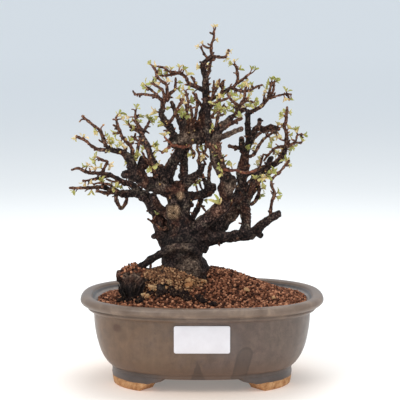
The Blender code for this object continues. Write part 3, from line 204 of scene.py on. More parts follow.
# Limbs and twigs: name, parent, first and last radius and lean, then x and
# height of each point. The lean is the depth gained by the tip.
LIMBS = named_rows("""
outer_left trunk 6.2 3.2 10, -22 101, -30.5 110, -33.6 121, -36.3 131, -40.8 139, -45.5 145, -51 147.2, -57 146.4,
    -62 145.8;
outer_left_end outer_left 2.6 0.9 6, -61 146, -71 149, -78 151.5, -87 151.5, -96 151, -105 151;
hanging_loop outer_left 1.6 1.5 -9, -61 147, -60 141, -64 135, -68 141, -68 148;
outer_left_stub outer_left_end 1.6 1.1 -5, -70 148, -76 147, -83 148.5;
thick_left trunk 6.5 4.4 -26, -19 146, -28.5 150, -38 152.6, -47 156.6, -54 162;
thick_left_stub thick_left 3.6 3 -6, -52 161, -57 162, -63 161.5;
thick_left_up thick_left 4.6 1.5 -10, -53 160, -55.5 168, -57 173, -61.5 178, -66 180, -71 181, -77 185;
thick_left_tip thick_left_up 1.6 0.9 -6, -76 184, -79 193, -81 197, -86 201, -91 205, -94 208;
thick_left_side thick_left_up 1.7 0.9 8, -69 181, -81 181.5, -88 185, -91 188, -96 190.5, -99 192;
low_left outer_left 2.8 0.9 16, -50 148, -54.5 153, -63 156.5, -69 159.5, -75 162, -87 163, -94 165, -98 167,
    -103 165.5;
low_left_up low_left 1.4 0.9 -5, -80 162, -77 168, -75 172, -78 173, -82 175;
low_left_low low_left 1.4 0.9 7, -74 161, -81 159, -90 157.5, -94 157;
crossing_left trunk 3.6 2.8 -10, -20 128.5, -27 129.3, -32 133, -36 138.5, -39 145.5;
inner_left thick_left 3.6 2 34, -28 149, -35 163, -39.5 170, -41 178, -43 185, -47 190, -47.5 197;
inner_left_arm inner_left 1.6 1 8, -47 195, -52 197, -57 200;
inner_left_up inner_left 1.6 0.9 4, -47 196, -52 204, -52.5 209, -52 213;
inner_left_right inner_left 1.5 1 12, -47 195, -44 199.5, -42 203;
inner_left_twin thick_left_up 1.8 1 12, -56 171, -52 176, -50.5 183, -49 190;
left_fork thick_left_up 1.8 0.9 10, -57 173, -55.5 182, -61 189, -63 191, -65 197, -67 202, -68 207;
left_fork_twig left_fork 1.1 0.8 -6, -65 196, -67 199, -70 201;
centre_left trunk 5.2 3 -5, -21 145, -27 154, -26.8 161, -23.4 169, -20.6 175, -18.6 181, -18.6 188;
centre trunk 4.2 2.8 6, -18 138, -15 150, -14.2 158, -14.2 169, -14 178, -12 188;
knot centre_left 4.4 4.2 4, -24 188, -17 189, -10 189.5, -3 190, 3 192;
knot_upright knot 2.6 1.9 -6, -15 190, -15 198, -15 204, -15.5 208;
left_stem knot 3.2 1.9 -14, -21 188, -23 194, -26 201, -30 206, -32 210.5, -31 214, -30.5 219, -28 221;
left_stem_a left_stem 1.4 0.8 -7, -29 220, -31 228, -33 230, -36 232, -40 234;
left_stem_b left_stem 1.3 0.8 8, -30 220, -37 224, -41 224.5, -47 225.5, -53 225;
left_stem_c left_stem_b 1.1 0.8 -5, -34 223, -39 228, -42 231;
left_stem_d left_stem 1.7 0.8 5, -28 220, -27.5 231, -30 234.5, -33 237, -35.5 240, -36.5 244, -39 247.5;
left_stem_e left_stem 1.5 0.8 12, -28 220, -25 226, -22 228.5, -21 234, -21 238;
left_stem_limb knot 2 1.5 14, -14 190, -17 201, -20 210, -24 219;
leader knot 4.4 1.7 5, -2 189, -1 203, 3 219, 3 226, 3 238, 1.4 243.5, 0.5 248, 2.5 251, 5 253, 8.5 256;
apex leader 1.5 0.8 -3, 8 255, 7.2 261.5, 7.5 265, 8.8 268, 9.2 271, 9.2 274.5;
apex_left leader 1.1 0.8 -5, 5 253, 1.4 257.5, -1 262;
apex_link apex 1 0.8 3, 7 261.5, 4 262, 1 263.5;
apex_right leader 1.3 0.8 -7, 8 255.5, 13.5 254.5, 17 254.5, 19.5 256, 20.5 260;
leader_twin leader 1.6 1.1 7, 3 238, 5.6 243.5, 6.6 249, 8.4 254;
long_left leader 2 0.8 -12, 3 228, -4 231, -9 233, -11.5 235.5, -13 238.5, -16.5 241.5, -20.5 242.5, -26 243.5,
    -29 246, -34 247;
long_left_low long_left 1.1 0.8 9, -18 242, -25 240.5, -31 240, -35 242;
long_left_stub long_left 1.1 0.8 6, -4 231, -6 235, -8.5 239;
red_left knot 1.5 1 -13, -7 188, -12.5 184, -18 184, -23 185, -27.5 182.5, -31.5 179;
red_left_twig red_left 0.9 0.8 -4, -21 184.5, -26 188, -29 191;
front_right trunk 6.2 4.3 -26, -14 112, -4 118, 5 126.5, 12 132, 17 138.8, 19.2 146, 19.4 154, 18 161, 13.8 168,
    11 175, 11.2 183, 11 190;
cut_stick front_right 2.4 1.8 -9, 11 190, 20 193.5, 31 198;
front_right_up front_right 3 1.6 16, 10.6 187, 11.8 198, 16.8 202, 21 205.5, 27 210, 33.5 213.5;
back_right trunk 5.7 3.8 18, -8 106, 2 111, 14.8 120, 25.6 131.6, 31 138.8, 36.5 145, 40 151, 43 159, 46 162;
low_right trunk 5.6 3.8 -8, -6 107.5, 6 109.5, 18 111.4, 30 111.9, 40 113.2;
low_right_riser low_right 4.6 3.8 18, 34.8 113, 34.8 121, 34.4 130, 34.4 138, 35.6 146;
low_right_cut low_right 3.8 2.9 -9, 38 113, 44 118, 52 124.5, 59 129.5, 62 130.5;
cut_twig low_right_cut 1.5 0.8 9, 54.6 128, 55.8 141, 57.8 146.5, 55.4 153, 55.6 158, 61 163.5, 67 170.5, 69 173;
far_right back_right 3.7 2.2 16, 37 147, 32 155, 30.5 163, 32.5 174, 34.8 180.5, 37 188, 36.5 194.5, 36 202, 36.3 206,
    36.3 213;
far_right_arm far_right 1.8 0.9 -12, 37 211, 43 213.5, 48 217.5, 52 223, 53.5 229.5, 55 235;
far_right_thin far_right_arm 1 0.8 6, 52 222, 64 225.5, 70 225.5;
far_right_short far_right_arm 1 0.8 5, 48 217, 48.5 222, 49.5 228;
far_right_left far_right 1.3 0.9 6, 37 210, 34.5 213.5, 32 217;
stub_upright far_right 2.6 2.2 -9, 34 178, 31.5 183, 31.5 190;
stub_level far_right 1.8 1.4 -10, 34 182, 29 183, 22 184.5;
arch far_right 2.8 1.8 -12, 37.5 189, 42 197, 45 200, 48.5 198, 54.5 199.5, 60 198;
arch_stub arch 2.2 1.8 2, 43 197, 45 202, 45.5 205;
under_arch far_right 1.5 0.9 12, 34 176, 40.5 178, 45.5 185.5, 51.5 192, 57.5 196;
outer_right back_right 2.5 1.1 -28, 44 160, 51.5 167, 59 170.5, 63 175, 65.5 181.5, 67 189, 66.5 195.5, 64.5 200,
    66 204, 67 210.5, 67 215;
outer_right_a outer_right 1.2 0.8 -7, 67 184, 70 185.5, 74 188, 75 193, 78.5 194;
outer_right_b outer_right_a 1 0.8 5, 73.5 187.5, 76 187, 78.5 187;
outer_right_c outer_right 1.3 0.8 12, 66 184, 63 184, 57.5 182.5, 54 179, 49 173;
outer_right_d back_right 1.2 0.8 6, 44 161, 46 168, 48.5 178;
top_right leader 2.1 0.9 14, 3 219, 9 222.5, 15 225, 22 230.5, 25 231, 28 236, 27.5 243, 26 248.5;
top_right_a top_right 1.2 0.8 -8, 28 234.5, 32 237, 37 241;
top_right_b top_right 1.4 0.8 9, 23 230.5, 33 227.5, 39 229, 42.5 231, 47 233;
top_right_stub top_right 1.2 0.8 -6, 14 224.5, 16 229, 17 235;
red_right front_right 1.4 0.9 -8, 13 175, 16.5 167, 21 165, 28 165, 33.5 163, 42.5 165;
fork_left burl_fork 1.8 1.2 8, 4 152, -0.5 162.5, -1.7 169, -3 173;
fork_right burl_fork 1.8 1.2 12, 5 153, 5.6 164, 7 171;
level trunk 4 3 8, -20 142, -13 144, -3 145, 7 147.5;
curved_stub centre 4.2 2.2 -13, -14 155, -9.9 157.6, -5 161, -1 165, 0.5 169.5;
stick trunk 2.6 1.8 6, -12 118, -8.5 125, -4 134, -1 141, 3 149;
stick_twig stick 0.9 0.8 -4, -3 138, 0 136, 2.5 133;
low_twig outer_left 0.9 0.8 -6, -36 120, -39 123, -43 126;
front_twig trunk 1.1 0.8 -7, -22 120, -27 118.5, -32 118, -36 121;
""")
# Limbs that spread towards the back and the front, behind the ones above.
DEPTH_LIMBS = named_rows("""
back_centre trunk 3.8 2 44, -16 116, -15 140, -14.6 162, -14.6 184, -10 200;
back_centre_left back_centre 2 0.9 16, -14.6 168, -19 182, -24 192, -30 204;
back_centre_low back_centre 2.2 0.9 28, -14.6 158, -14.6 165, -15 174, -13 186;
back_centre_tip back_centre 1.8 0.9 6, -10 192, -12 206, -11 219, -13 228;
back_centre_right back_centre 2 0.9 10, -12 185, -3 198, 5 206, 13 213;
back_left trunk 4 2.2 42, -21 120, -20 138, -25 150, -29 158, -30 166;
back_left_a back_left 2 0.9 10, -30 164, -37 171, -41 178, -47 186, -56 192;
back_left_b back_left 1.8 0.9 12, -30 165, -25 174, -21 182, -22 193;
back_left_c back_left 1.8 0.9 24, -26 152, -36 155, -45 158, -54 164;
back_right_limb trunk 4.8 2.4 46, -6 112, 10 126, 24 140, 32 156, 36 170;
back_right_a back_right_limb 1.9 0.9 8, 33 160, 46 167, 58 172, 66 184;
back_right_b back_right_limb 1.9 0.9 10, 35 166, 36 180, 38 192, 37 204;
back_right_c back_right_limb 1.8 0.9 24, 27 146, 31 150, 37 156, 44 160;
front_centre front_right 2 1 -24, 20 154, 18.4 165, 15 176, 12 187;
front_centre_a front_centre 1.3 0.9 -10, 15 175, 11 181, 6 186;
front_left_limb thick_left 2.2 1 -20, -36 152, -38 163, -41 174, -43 182;
front_left_a front_left_limb 1.3 0.9 -10, -38 165, -43 172, -48 180;
front_top left_stem 1.5 0.9 -18, -27 202, -22 208, -19 215, -15 221;
front_top_right leader 1.7 0.9 -24, 1 210, 6 215, 12 219, 20 222;
front_low_right back_right 1.6 0.9 -40, 36 144, 40 152, 47 157, 54 162;
back_top leader 1.6 0.9 24, 3 226, 4 234, 3 241, 2 249;
back_far_right far_right 1.5 0.9 22, 36.5 186, 42 192, 49 196, 59 197.5;
back_far_left inner_left 1.4 0.9 20, -44 187, -47 194, -51 200, -52 209;
""")
# Shoots too thin for the solid tree, in the same form.
FINE_LIMBS = named_rows("""
thicket_a knot 1.8 0.8 -4, -7 191, -6 204, -4 215, -4 222, -5 226;
thicket_b knot 1.5 0.8 6, -13 190, -11 203, -12 212, -13 218, -14 222;
thicket_c leader 1.3 0.8 -6, 2 212, -2 219, -5 223, -7 227;
joining front_right 3 2 8, 10 179, 6.5 187, 5.4 197, 5 206, 4 214, 3 220;
left_lump thick_left 3.6 2.8 -3, -46 157, -48 164, -48 170, -46 175;
left_lump_knob left_lump 2.2 1.6 4, -46 168, -42 171, -41 174;
under_arch_knob outer_right 2.4 1.9 4, 53 168, 53 172, 55 175;
thicket_d knot 1.6 1 -5, -8 191, -8.5 200, -7.5 208, -9 216;
leader_side leader 1.3 0.8 -5, 3 216, 8 223, 12 231, 14 237;
leader_side_stub leader_side 0.9 0.8 3, 12 231, 14 233, 16.5 234.5;
leader_side_twin leader_side 0.9 0.7 -3, 8 223, 9 230, 9.5 236;
top_inner front_right_up 1.6 0.9 -5, 27 210, 30 217, 33 222, 34 230;
top_inner_left top_inner 1.2 0.8 5, 30 216, 24 220, 20 225;
top_inner_right top_inner 1.1 0.8 -4, 31 218, 36 220, 40 219;
right_curl back_right 1.9 1.3 -10, 43 159, 45 152, 45 146, 42.5 140.5, 39.5 138;
window_twig level 0.9 0.7 -4, -3 145, -4 151, -6 157;
window_twig_b level 0.9 0.7 4, 2 147, -1 152, -2 158;
under_knot_a knot 1.3 0.8 -6, -3 188, -4 182, -2 177, -3 172;
under_knot_b knot 1.3 0.8 -3, 3 190, 3 182, 1 176, 3 170;
under_knot_c knot 1.5 0.9 -7, -8 189, -9 183, -6 179, -7 175;
under_knot_d knot 1.2 0.8 3, 0 190, -1 184, 2 179, 5 176;
left_low_twig outer_left_end 1.2 0.8 -4, -66 148, -73 153.5, -80 155, -86 154;
left_low_twig_b low_left 1.1 0.8 -3, -63 156.5, -70 156, -76 158;
left_knob thick_left 2.8 1.9 -4, -29 151, -30 160, -32 168;
arm_top far_right_arm 1.1 0.8 -3, 51 221, 55.5 227, 56.5 235;
up_twin front_right_up 2 1.2 -4, 11 190, 15 197, 21 201, 27 204.5, 31 206;
up_inner front_right_up 1.6 1 5, 11.5 197, 12 205, 14 211, 17 216;
""")
ALL_LIMBS = {**LIMBS, **DEPTH_LIMBS, **FINE_LIMBS}

# Leaf tufts: x and height seen from the front, each on the nearest thin twig.
LEAF_SPOTS = rows("""
-98 192, -93 193, -81 196, -75 193, -73 190, -68 194, -66 209, -59 207, -60 202, -52 214, -57 188, -63 185, -61 181,
-83 176, -93 169, -74 169, -92 155, -101 149, -87 150, -66 153, -60 170, -55 173, -42 250, -36 248, -47 233, -45 229,
-38 233, -34 238, -33 234, -27 236, -24 246, -34 243, -18 234, -18 229, -34 227, -26 214, -42 208, -39 212, -39 204,
-33 201, -30 194, -38 184, -33 169, -50 202, -17 248, -13 246, -11 240, -2 246, -14 224, -18 213, 12 230, 16 227,
6 218, 14 216, 3 206, 11 198, -3 184, -1 176, -5 155, 14 173, 20 169, 23 170, 2 141, 34 231, 33 222, 28 214, 30 206,
39 219, 41 216, 51 226, 54 237, 58 235, 66 229, 25 226, 60 202, 54 190, 60 191, 38 186, 60 179, 49 162, 57 165,
66 174, 68 169, 65 221, 70 221, 63 208, 66 210, 70 210, 69 198, 73 199, 74 197, 81 194, 79 187, 70 184, 68 181,
45 147, 54 162, 62 147, -35 131, 9 128, 8 279.6, 11 280.2, 10 268, -4 263, 1 265, 20 257, 23 259, 19 253, 25 253,
30 245, 39 247, 43 246, -16 230, 35 232, 19 227, 41 220, 18 211, 21 214, 24 211, 26 216, 22 218, -7 155, -3 154,
1 156, -88 155, -78 159, -80 157, 58 238, -71 155, 18 215, 27 212, 30 226, 36 227, 33 235, 38 234, -62 206, -64 211,
-58 205, -36 207, -41 205, -35 211, -70 188, -74 187, -90 170, -86 172, 54 184, 55 189, 53 166, 56 163, -36 182,
-36 186, -54 177, -58 176, -69 150, -64 152, 31 230, 25 220, 67 172, -72 185, -67 184, -65 187, -70 182, 48 155,
50 151, 47 174, 9 212, 12 214, 14 212, 26 225, 36 216, -17 211, -15 208, -8 219, -42 206, -44 209, 62 199, 60 202,
61 143, -84 167, -80 166, 52 233, 51 229, -10 178, 2 178, -26 240, -30 240, 22 249, 43 222, 70 193, 32 184
""")
# The limbs behind and in front carry tufts only this near to a seen one.
LEAF_SPOT_REACH = 6.5
THICKEST_LEAFY_WOOD = 2.6
# Tufts above this height are smaller, by this share, and tufts with leaves
# shorter than PALE_TUFT are pale.
APEX_HEIGHT = 251
APEX_TUFT_SHARE = 0.68
PALE_TUFT = 4.7
# A bigger tuft by the trunk's fork: its place, then each leaf's direction,
# length and shade.
BIG_TUFT = (16, 137)
BIG_TUFT_LEAVES = rows("""-0.9 -0.3 0.5 11.5 0.75, -0.42 -0.35 0.95 11 0.3, -0.62 -0.7 0.6 8.5 0.55,
    0.12 -0.4 1 7 0.95, -0.1 -0.9 0.6 4.5 0.5""")
# Leaf shapes: width, fold and curl.
LEAF_SHAPES = rows("0.26 0.6 -0.3, 0.3 0.8 -0.7, 0.25 0.9 -0.2, 0.16 0.8 -0.35, 0.28 0.7 0.2, 0.31 0.5 -0.9")
# Buds: x, height, length.
BUD_SPOTS = rows("""-33 186 5.4, -30 180.5 3.4, -29 181 3, -8 188 3.6, 2 187 3.8, -2 236 3.4, 5 232 3.4,
    -22 229 3.6, 44 218 3.6, 50 154 3.8, 22 141 4, -64 186 3.8, -5 181 2.8, 1 179 3, -7 177 2.6, -62 183 3.2,
    16 173 3.4""")

# Thicker limbs grow into the trunk; thinner ones are tubes of their own. Bark
# stands out by its roughness, a share of the radius.
FUSED_WOOD_RADIUS = 3.4
FUSED_WOOD_SIDES = 20
FUSED_WOOD_ROUGHNESS = 0.06
WOOD_VOXEL = 0.80
STOUT_TWIG = 2.6
STOUT_TWIG_SIDES = 14
TWIG_SIDES = 10
TWIG_ROUGHNESS = 0.13
ROUTE_SPACING = 1.0
# Spurs: none on wood thicker than this, and only stubs on wood over STUB_WOOD.
SPUR_SPACING = 8.0
THICKEST_SPURRED_WOOD = 9
STUB_WOOD = 3.2
SPUR_SIDES = 7
SPUR_BUD_CHANCE = 0.4
THICKEST_BUDDING_WOOD = 1.6
# Tan, rough patches of old bark: x, depth, height, reach. Then paler, greyer
# # wood, partly its own colour and partly a painted highlight, and redder wood, in the same form.
TAN_PATCHES = rows("-23 -15 132 6.4, -17.5 -9 145 3.2, -50 -14 151 3")
PALE_PATCHES = rows("""-10 -17 86 9, -24 -18.5 102.5 4, -14 -18.5 103.5 4, -61 -22 81 4, -53 -21 80 3.5,
    23 -19 151 6.5, 14 -22 170 5.5, 12 -25 179 6, 12 -26 188 6, 25 5 128 4, 20 -30 194 5.5, 27 -32 197 5,
    18 -20 203 5, 48 -8 199 7, -48 -2 149 4.5, -11 -8 190 8, -35 -12 153 6""")
WARM_PATCHES = rows("""12 -12 133 7, 26 6 130 7, 32 12 140 6, -29 -5 131 4.5, -35 -9 138 5, -24 -12 117 5,
    34.8 6 130 7, -61 -21 81 7, -53 -20 80 7, -65 -17 82 6""")
# Painted shade on the old stump's underside: heights and x where the darkness fades.
STUMP_SHADE_HEIGHTS = (78, 73)
STUMP_SHADE_X = (-42, -46)

GOLDEN_ANGLE = math.radians(137.5)
FLOOR_RADIUS = 45.0


# Numbers and colours


def srgb(red, green, blue):
    """A linear colour from the 0 to 255 numbers of a screen."""
    shares = [value / 255 for value in (red, green, blue)]
    return (*(share / 12.92 if share <= 0.04045 else ((share + 0.055) / 1.055) ** 2.4 for share in shares), 1.0)


def noise_at(points, size, seed=0):
    """Smooth noise from -1 to 1 at each point, with features about this big."""
    cells = np.asarray(points) / size
    corner = np.floor(cells).astype(np.int64)
    part = cells - corner
    part = part * part * (3 - 2 * part)
    total = np.zeros(len(cells))
    for shift in itertools.product((0, 1), repeat=3):
        x, y, z = (corner + shift).T
        mixed = (x * 73856093) ^ (y * 19349663) ^ (z * 83492791) ^ (seed * 83492123 + 40503)
        mixed = ((mixed ^ (mixed >> 13)) * 1274126177) & 0x7FFFFFFF
        value = ((mixed ^ (mixed >> 16)) & 0xFFFF) / 32767.5 - 1
        total += value * np.prod(np.where(shift, part, 1 - part), axis=1)
    return total


def layered_noise(points, size, seed=0, layers=3):
    total = np.zeros(len(points))
    for i in range(layers):
        total += noise_at(points, size / 2 ** i, seed + 7 * i) * 0.55 ** i
    return total


def smoothstep(low, high, value):
    share = np.clip((value - low) / (high - low), 0, 1)
    return share * share * (3 - 2 * share)


def smooth_through(knots, shares):
    """More rows on a smooth curve through the given ones."""
    fine = []
    for i in range(len(knots) - 1):
        before, start = knots[max(i - 1, 0)], knots[i]
        end, after = knots[i + 1], knots[min(i + 2, len(knots) - 1)]
        for t in shares:
            fine.append(((2 * start) + (end - before) * t + (2 * before - 5 * start + 4 * end - after) * t * t
                         + (3 * start - before - 3 * end + after) * t ** 3) / 2)
    return np.array(fine + [knots[-1]])


def sideways(direction, draw):
    """A random unit vector square to this one."""
    while True:
        other = three(draw, -1, 1)
        across = other - direction * other.dot(direction)
        if np.linalg.norm(across) > 0.3:
            return across / np.linalg.norm(across)


def three(draw, low, high):
    return np.array([draw.uniform(low, high) for _ in range(3)])


def random_tint(draw):
    return (draw.random(), draw.random(), draw.random(), 1)


def unit(vector):
    return vector / np.linalg.norm(vector)


# Meshes


class Piece:
    """Gathers many small meshes, in mm, into one object with a colour a point."""

    def __init__(self):
        self.points = []
        self.tints = []
        self.faces = []
        self.count = 0

    def add(self, points, faces, tints=(0, 0, 0, 1)):
        self.points.append(points)
        self.tints.append(np.broadcast_to(tints, (len(points), 4)))
        self.faces += [group + self.count for group in faces]
        self.count += len(points)

    def build(self, name, material):
        mesh = bpy.data.meshes.new(name)
        points = np.concatenate(self.points) * MM + np.array(POT_MIDDLE)
        mesh.vertices.add(len(points))
        mesh.vertices.foreach_set("co", points.ravel())
        corners = np.concatenate([group.ravel() for group in self.faces])
        sizes = np.concatenate([np.full(len(group), group.shape[1]) for group in self.faces])
        mesh.loops.add(len(corners))
        mesh.loops.foreach_set("vertex_index", corners)
        mesh.polygons.add(len(sizes))
        mesh.polygons.foreach_set("loop_start", np.concatenate([[0], np.cumsum(sizes)[:-1]]))
        mesh.update(calc_edges=True)
        mesh.validate()
        mesh.polygons.foreach_set("use_smooth", np.full(len(mesh.polygons), True))
        tint = mesh.color_attributes.new("tint", "FLOAT_COLOR", "POINT")
        tint.data.foreach_set("color", np.concatenate(self.tints).astype(np.float32).ravel())
        mesh.materials.append(material)
        return new_object(name, mesh)


def new_object(name, data):
    obj = bpy.data.objects.new(name, data)
    bpy.context.scene.collection.objects.link(obj)
    return obj


def ride(obj, slot, *nodes):
    """Puts a finished piece on the frame in place of these CAD nodes."""
    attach(obj, "root")
    if nodes:
        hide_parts(*nodes)
    return obj


def add_modifier(obj, kind, **settings):
    modifier = obj.modifiers.new(kind.title(), kind)
    for name, value in settings.items():
        setattr(modifier, name, value)


def evaluated_mesh(obj):
    bpy.context.view_layer.update()
    graph = bpy.context.evaluated_depsgraph_get()
    return bpy.data.meshes.new_from_object(obj.evaluated_get(graph))


def read_vectors(values, key):
    vectors = np.empty(len(values) * 3)
    values.foreach_get(key, vectors)
    return vectors.reshape(-1, 3)


def in_mm(mesh):
    """The mesh's points as in the tables."""
    return (read_vectors(mesh.vertices, "co") - np.array(POT_MIDDLE)) / MM


def kd_tree(points):
    tree = KDTree(len(points))
    for i, point in enumerate(points):
        tree.insert(point, i)
    tree.balance()
    return tree


def ring_quads(rings, sides):
    start = (np.arange(rings - 1) * sides)[:, None]
    k = np.arange(sides)
    after = (k + 1) % sides
    return np.stack([start + k, start + after, start + after + sides, start + k + sides], axis=-1).reshape(-1, 4)


def ring_faces(rings, sides):
    """The quads between rings of points, and a cap at each end."""
    return [ring_quads(rings, sides), np.array([np.arange(sides)[::-1], (rings - 1) * sides + np.arange(sides)])]


def shell_template(subdivisions, draw, jitter, boxiness):
    """Points and quads of a rounded, uneven lump of radius 1."""
    bm = bmesh.new()
    bmesh.ops.create_cube(bm, size=2.0)
    bmesh.ops.subdivide_edges(bm, edges=bm.edges, cuts=subdivisions, use_grid_fill=True)
    bm.verts.ensure_lookup_table()
    points = np.array([vert.co for vert in bm.verts])
    quads = np.array([[vert.index for vert in face.verts] for face in bm.faces])
    bm.free()
    round_points = points / np.linalg.norm(points, axis=1, keepdims=True)
    points = round_points * (1 - boxiness) + points * boxiness * 0.8
    bumps = noise_at(points + three(draw, -50, 50), 0.9, 3) * jitter
    return points * (1 + bumps[:, None]), [quads]


# Routes of the wood


class Route:
    """A limb's smooth middle line with radii and a steady frame, all in mm."""

    def __init__(self, points, radii, spacing=ROUTE_SPACING):
        fine = smooth_through(np.column_stack([np.array(points, float), np.array(radii, float)]),
                              np.arange(0, 1, 0.05))
        steps = np.linalg.norm(np.diff(fine[:, :3], axis=0), axis=1)
        travelled = np.concatenate([[0], np.cumsum(steps)])
        self.lengths = np.linspace(0, travelled[-1], max(4, round(travelled[-1] / spacing)) + 1)
        columns = [np.interp(self.lengths, travelled, column) for column in fine.T]
        self.centres = np.column_stack(columns[:3])
        self.radii = columns[3]
        self.turn()

    def turn(self):
        """Works out the tangents and two directions across that don't twist."""
        steps = np.gradient(self.centres, axis=0)
        self.tangents = steps / np.linalg.norm(steps, axis=1, keepdims=True)
        across = np.cross(self.tangents[0], (0.3, 0.9, 0.2))
        normals = []
        for tangent in self.tangents:
            across = unit(across - tangent * across.dot(tangent))
            normals.append(across)
        self.normals = np.array(normals)
        self.binormals = np.cross(self.tangents, self.normals)

    def make_gnarled(self, seed):
        """Bends the line in small ways, and swells it at its nodes and its foot."""
        fade = smoothstep(0, 6, self.lengths)[:, None]
        wander = [noise_at(self.centres, 7.0, seed + i) + 0.5 * noise_at(self.centres, 3.2, seed + 9 + i)
                  for i in range(3)]
        self.centres += np.column_stack(wander) * np.clip(0.2 + 0.12 * self.radii, 0.3, 0.75)[:, None] * fade
        start = self.radii[0]
        self.radii *= 1 + 0.13 * noise_at(self.centres, 5.0, seed + 20) + 0.08 * noise_at(self.centres, 2.2, seed + 30)
        spacing = 5.0 + 1.2 * self.radii
        phase = np.cumsum(np.gradient(self.lengths) / spacing) + seed * 0.37
        node = np.exp(-(((phase % 1) - 0.5) * spacing / 0.8) ** 2)
        self.radii += node * np.clip(0.28 * self.radii, 0.2, 0.6)
        self.radii += 0.2 * start * np.exp(-(self.lengths / (1.1 * start)) ** 2)
        self.turn()


def seen(x, depth, height):
    """The point at this depth that shows at (x, height) in the trunk's plane."""
    share = (VIEW_DISTANCE + depth) / VIEW_DISTANCE
    return (x * share, depth, EYE_HEIGHT + (height - EYE_HEIGHT) * share)


def front_view(points):
    share = VIEW_DISTANCE / (VIEW_DISTANCE + points[:, 1])
    return np.column_stack([points[:, 0] * share, EYE_HEIGHT + (points[:, 2] - EYE_HEIGHT) * share])


def nearest(points, spot):
    """The number of the point that shows nearest to a spot in the front view."""
    return np.argmin(np.linalg.norm(front_view(points) - spot, axis=1))


def grow(limb, routes):
    """One limb's route, starting at the depth of its parent."""
    (parent, *numbers), points = limb
    start_radius, end_radius, lean = map(float, numbers)
    line = routes[parent].centres
    depth = line[nearest(line, points[0]), 1]
    spans = [math.dist(a, b) for a, b in zip(points, points[1:])]
    shares = np.concatenate([[0], np.cumsum(spans)]) / sum(spans)
    placed = [seen(x, depth + lean * share ** 1.15, z) for (x, z), share in zip(points, shares)]
    return Route(placed, start_radius + (end_radius - start_radius) * shares ** 0.8)


def make_routes():
    routes = {"trunk": Route([seen(*point) for point in TRUNK], TRUNK_RADII),
              "stump": Route([seen(*point) for point in STUMP], STUMP_RADII)}
    for name, (radii, points) in ROOTS.items():
        routes[name] = Route([seen(*point) for point in points], np.linspace(*map(float, radii), len(points)))
    fork = seen(*BURL_FORK)
    routes["burl_fork"] = Route([fork, (fork[0], fork[1], fork[2] + 1)], [2.0, 2.0])
    for name, limb in ALL_LIMBS.items():
        routes[name] = grow(limb, routes)
    del routes["burl_fork"]
    for i, route in enumerate(routes.values()):
        route.make_gnarled(11 * i + 3)
    return routes


def joined(routes, names, *parts):
    """These parts of the named routes, end to end."""
    return [np.concatenate([getattr(routes[name], part) for name in names]) for part in parts]


def tube(route, sides, roughness, seed, cut=False):
    """A closed, bark-rough tube: its points, faces, relief from 0 to 1 and radii."""
    cap = ((0.12, 0.9), (0.16, 0.55)) if cut else ((0.35, 0.94), (0.75, 0.66), (0.94, 0.34))
    end, tangent, tip_radius = route.centres[-1], route.tangents[-1], route.radii[-1]
    centres = np.vstack([route.centres] + [end + tangent * tip_radius * along for along, _ in cap])
    radii = np.append(route.radii, [tip_radius * across for _, across in cap])
    normals, binormals = [np.vstack([part] + [part[-1]] * len(cap)) for part in (route.normals, route.binormals)]
    angles = np.arange(sides) * math.tau / sides
    around = normals[:, None] * np.cos(angles)[None, :, None] + binormals[:, None] * np.sin(angles)[None, :, None]
    points = (centres[:, None] + around * radii[:, None, None]).reshape(-1, 3)
    lumps = noise_at(points, 1.5, seed) + 0.6 * noise_at(points, 0.8, seed + 5)
    points += around.reshape(-1, 3) * (lumps * (np.repeat(radii, sides) * roughness))[:, None]
    count, k = len(points), np.arange(sides)
    after, last = (k + 1) % sides, count - sides
    points = np.vstack([points, route.centres[0], centres[-1] + tangent * radii[-1] * 0.1])
    fans = np.concatenate([np.stack([after, k, np.full(sides, count)], axis=1),
                           np.stack([last + k, last + after, np.full(sides, count + 1)], axis=1)])
    relief = np.append(0.5 + lumps / 3.2, [0.5, 0.5])
    return points, [ring_quads(len(centres), sides), fans], relief, np.append(np.repeat(radii, sides), [1.0, 1.0])


def ball(middle, half, seed):
    """A lumpy ball as points and quads."""
    points, faces = shell_template(7, random.Random(seed), 0.0, 0.0)
    points = points * half
    lumps = layered_noise(points + np.array(middle), 3.6, seed)
    return points * (1 + 0.26 * lumps)[:, None] + np.array(middle), faces


def near_patches(points, patches):
    """How near each point is to any of these patches, from 0 to 1."""
    share = np.zeros(len(points))
    for x, depth, height, reach in patches:
        away = np.linalg.norm(points - np.array(seen(x, depth, height)), axis=1)
        share = np.maximum(share, np.exp(-(away / reach) ** 4))
    return share


def wood_tints(points, radii, relief):
    """Point colours of wood: how young it is, its relief (the bark's painted shade and highlight), how tan and how
    pale (partly a painted highlight).
    """
    young = np.maximum(1 - smoothstep(0.9, 2.1, radii), 0.4 * near_patches(points, WARM_PATCHES))
    return np.column_stack([young, np.clip(relief, 0, 1), near_patches(points, TAN_PATCHES),
                            near_patches(points, PALE_PATCHES)])


def add_wood(piece, parts, scale=1, more=0):
    """Adds a tube, coloured as wood that is thicker or thinner than it."""
    points, faces, relief, radii = parts
    piece.add(points, faces, wood_tints(points, radii * scale + more, relief))


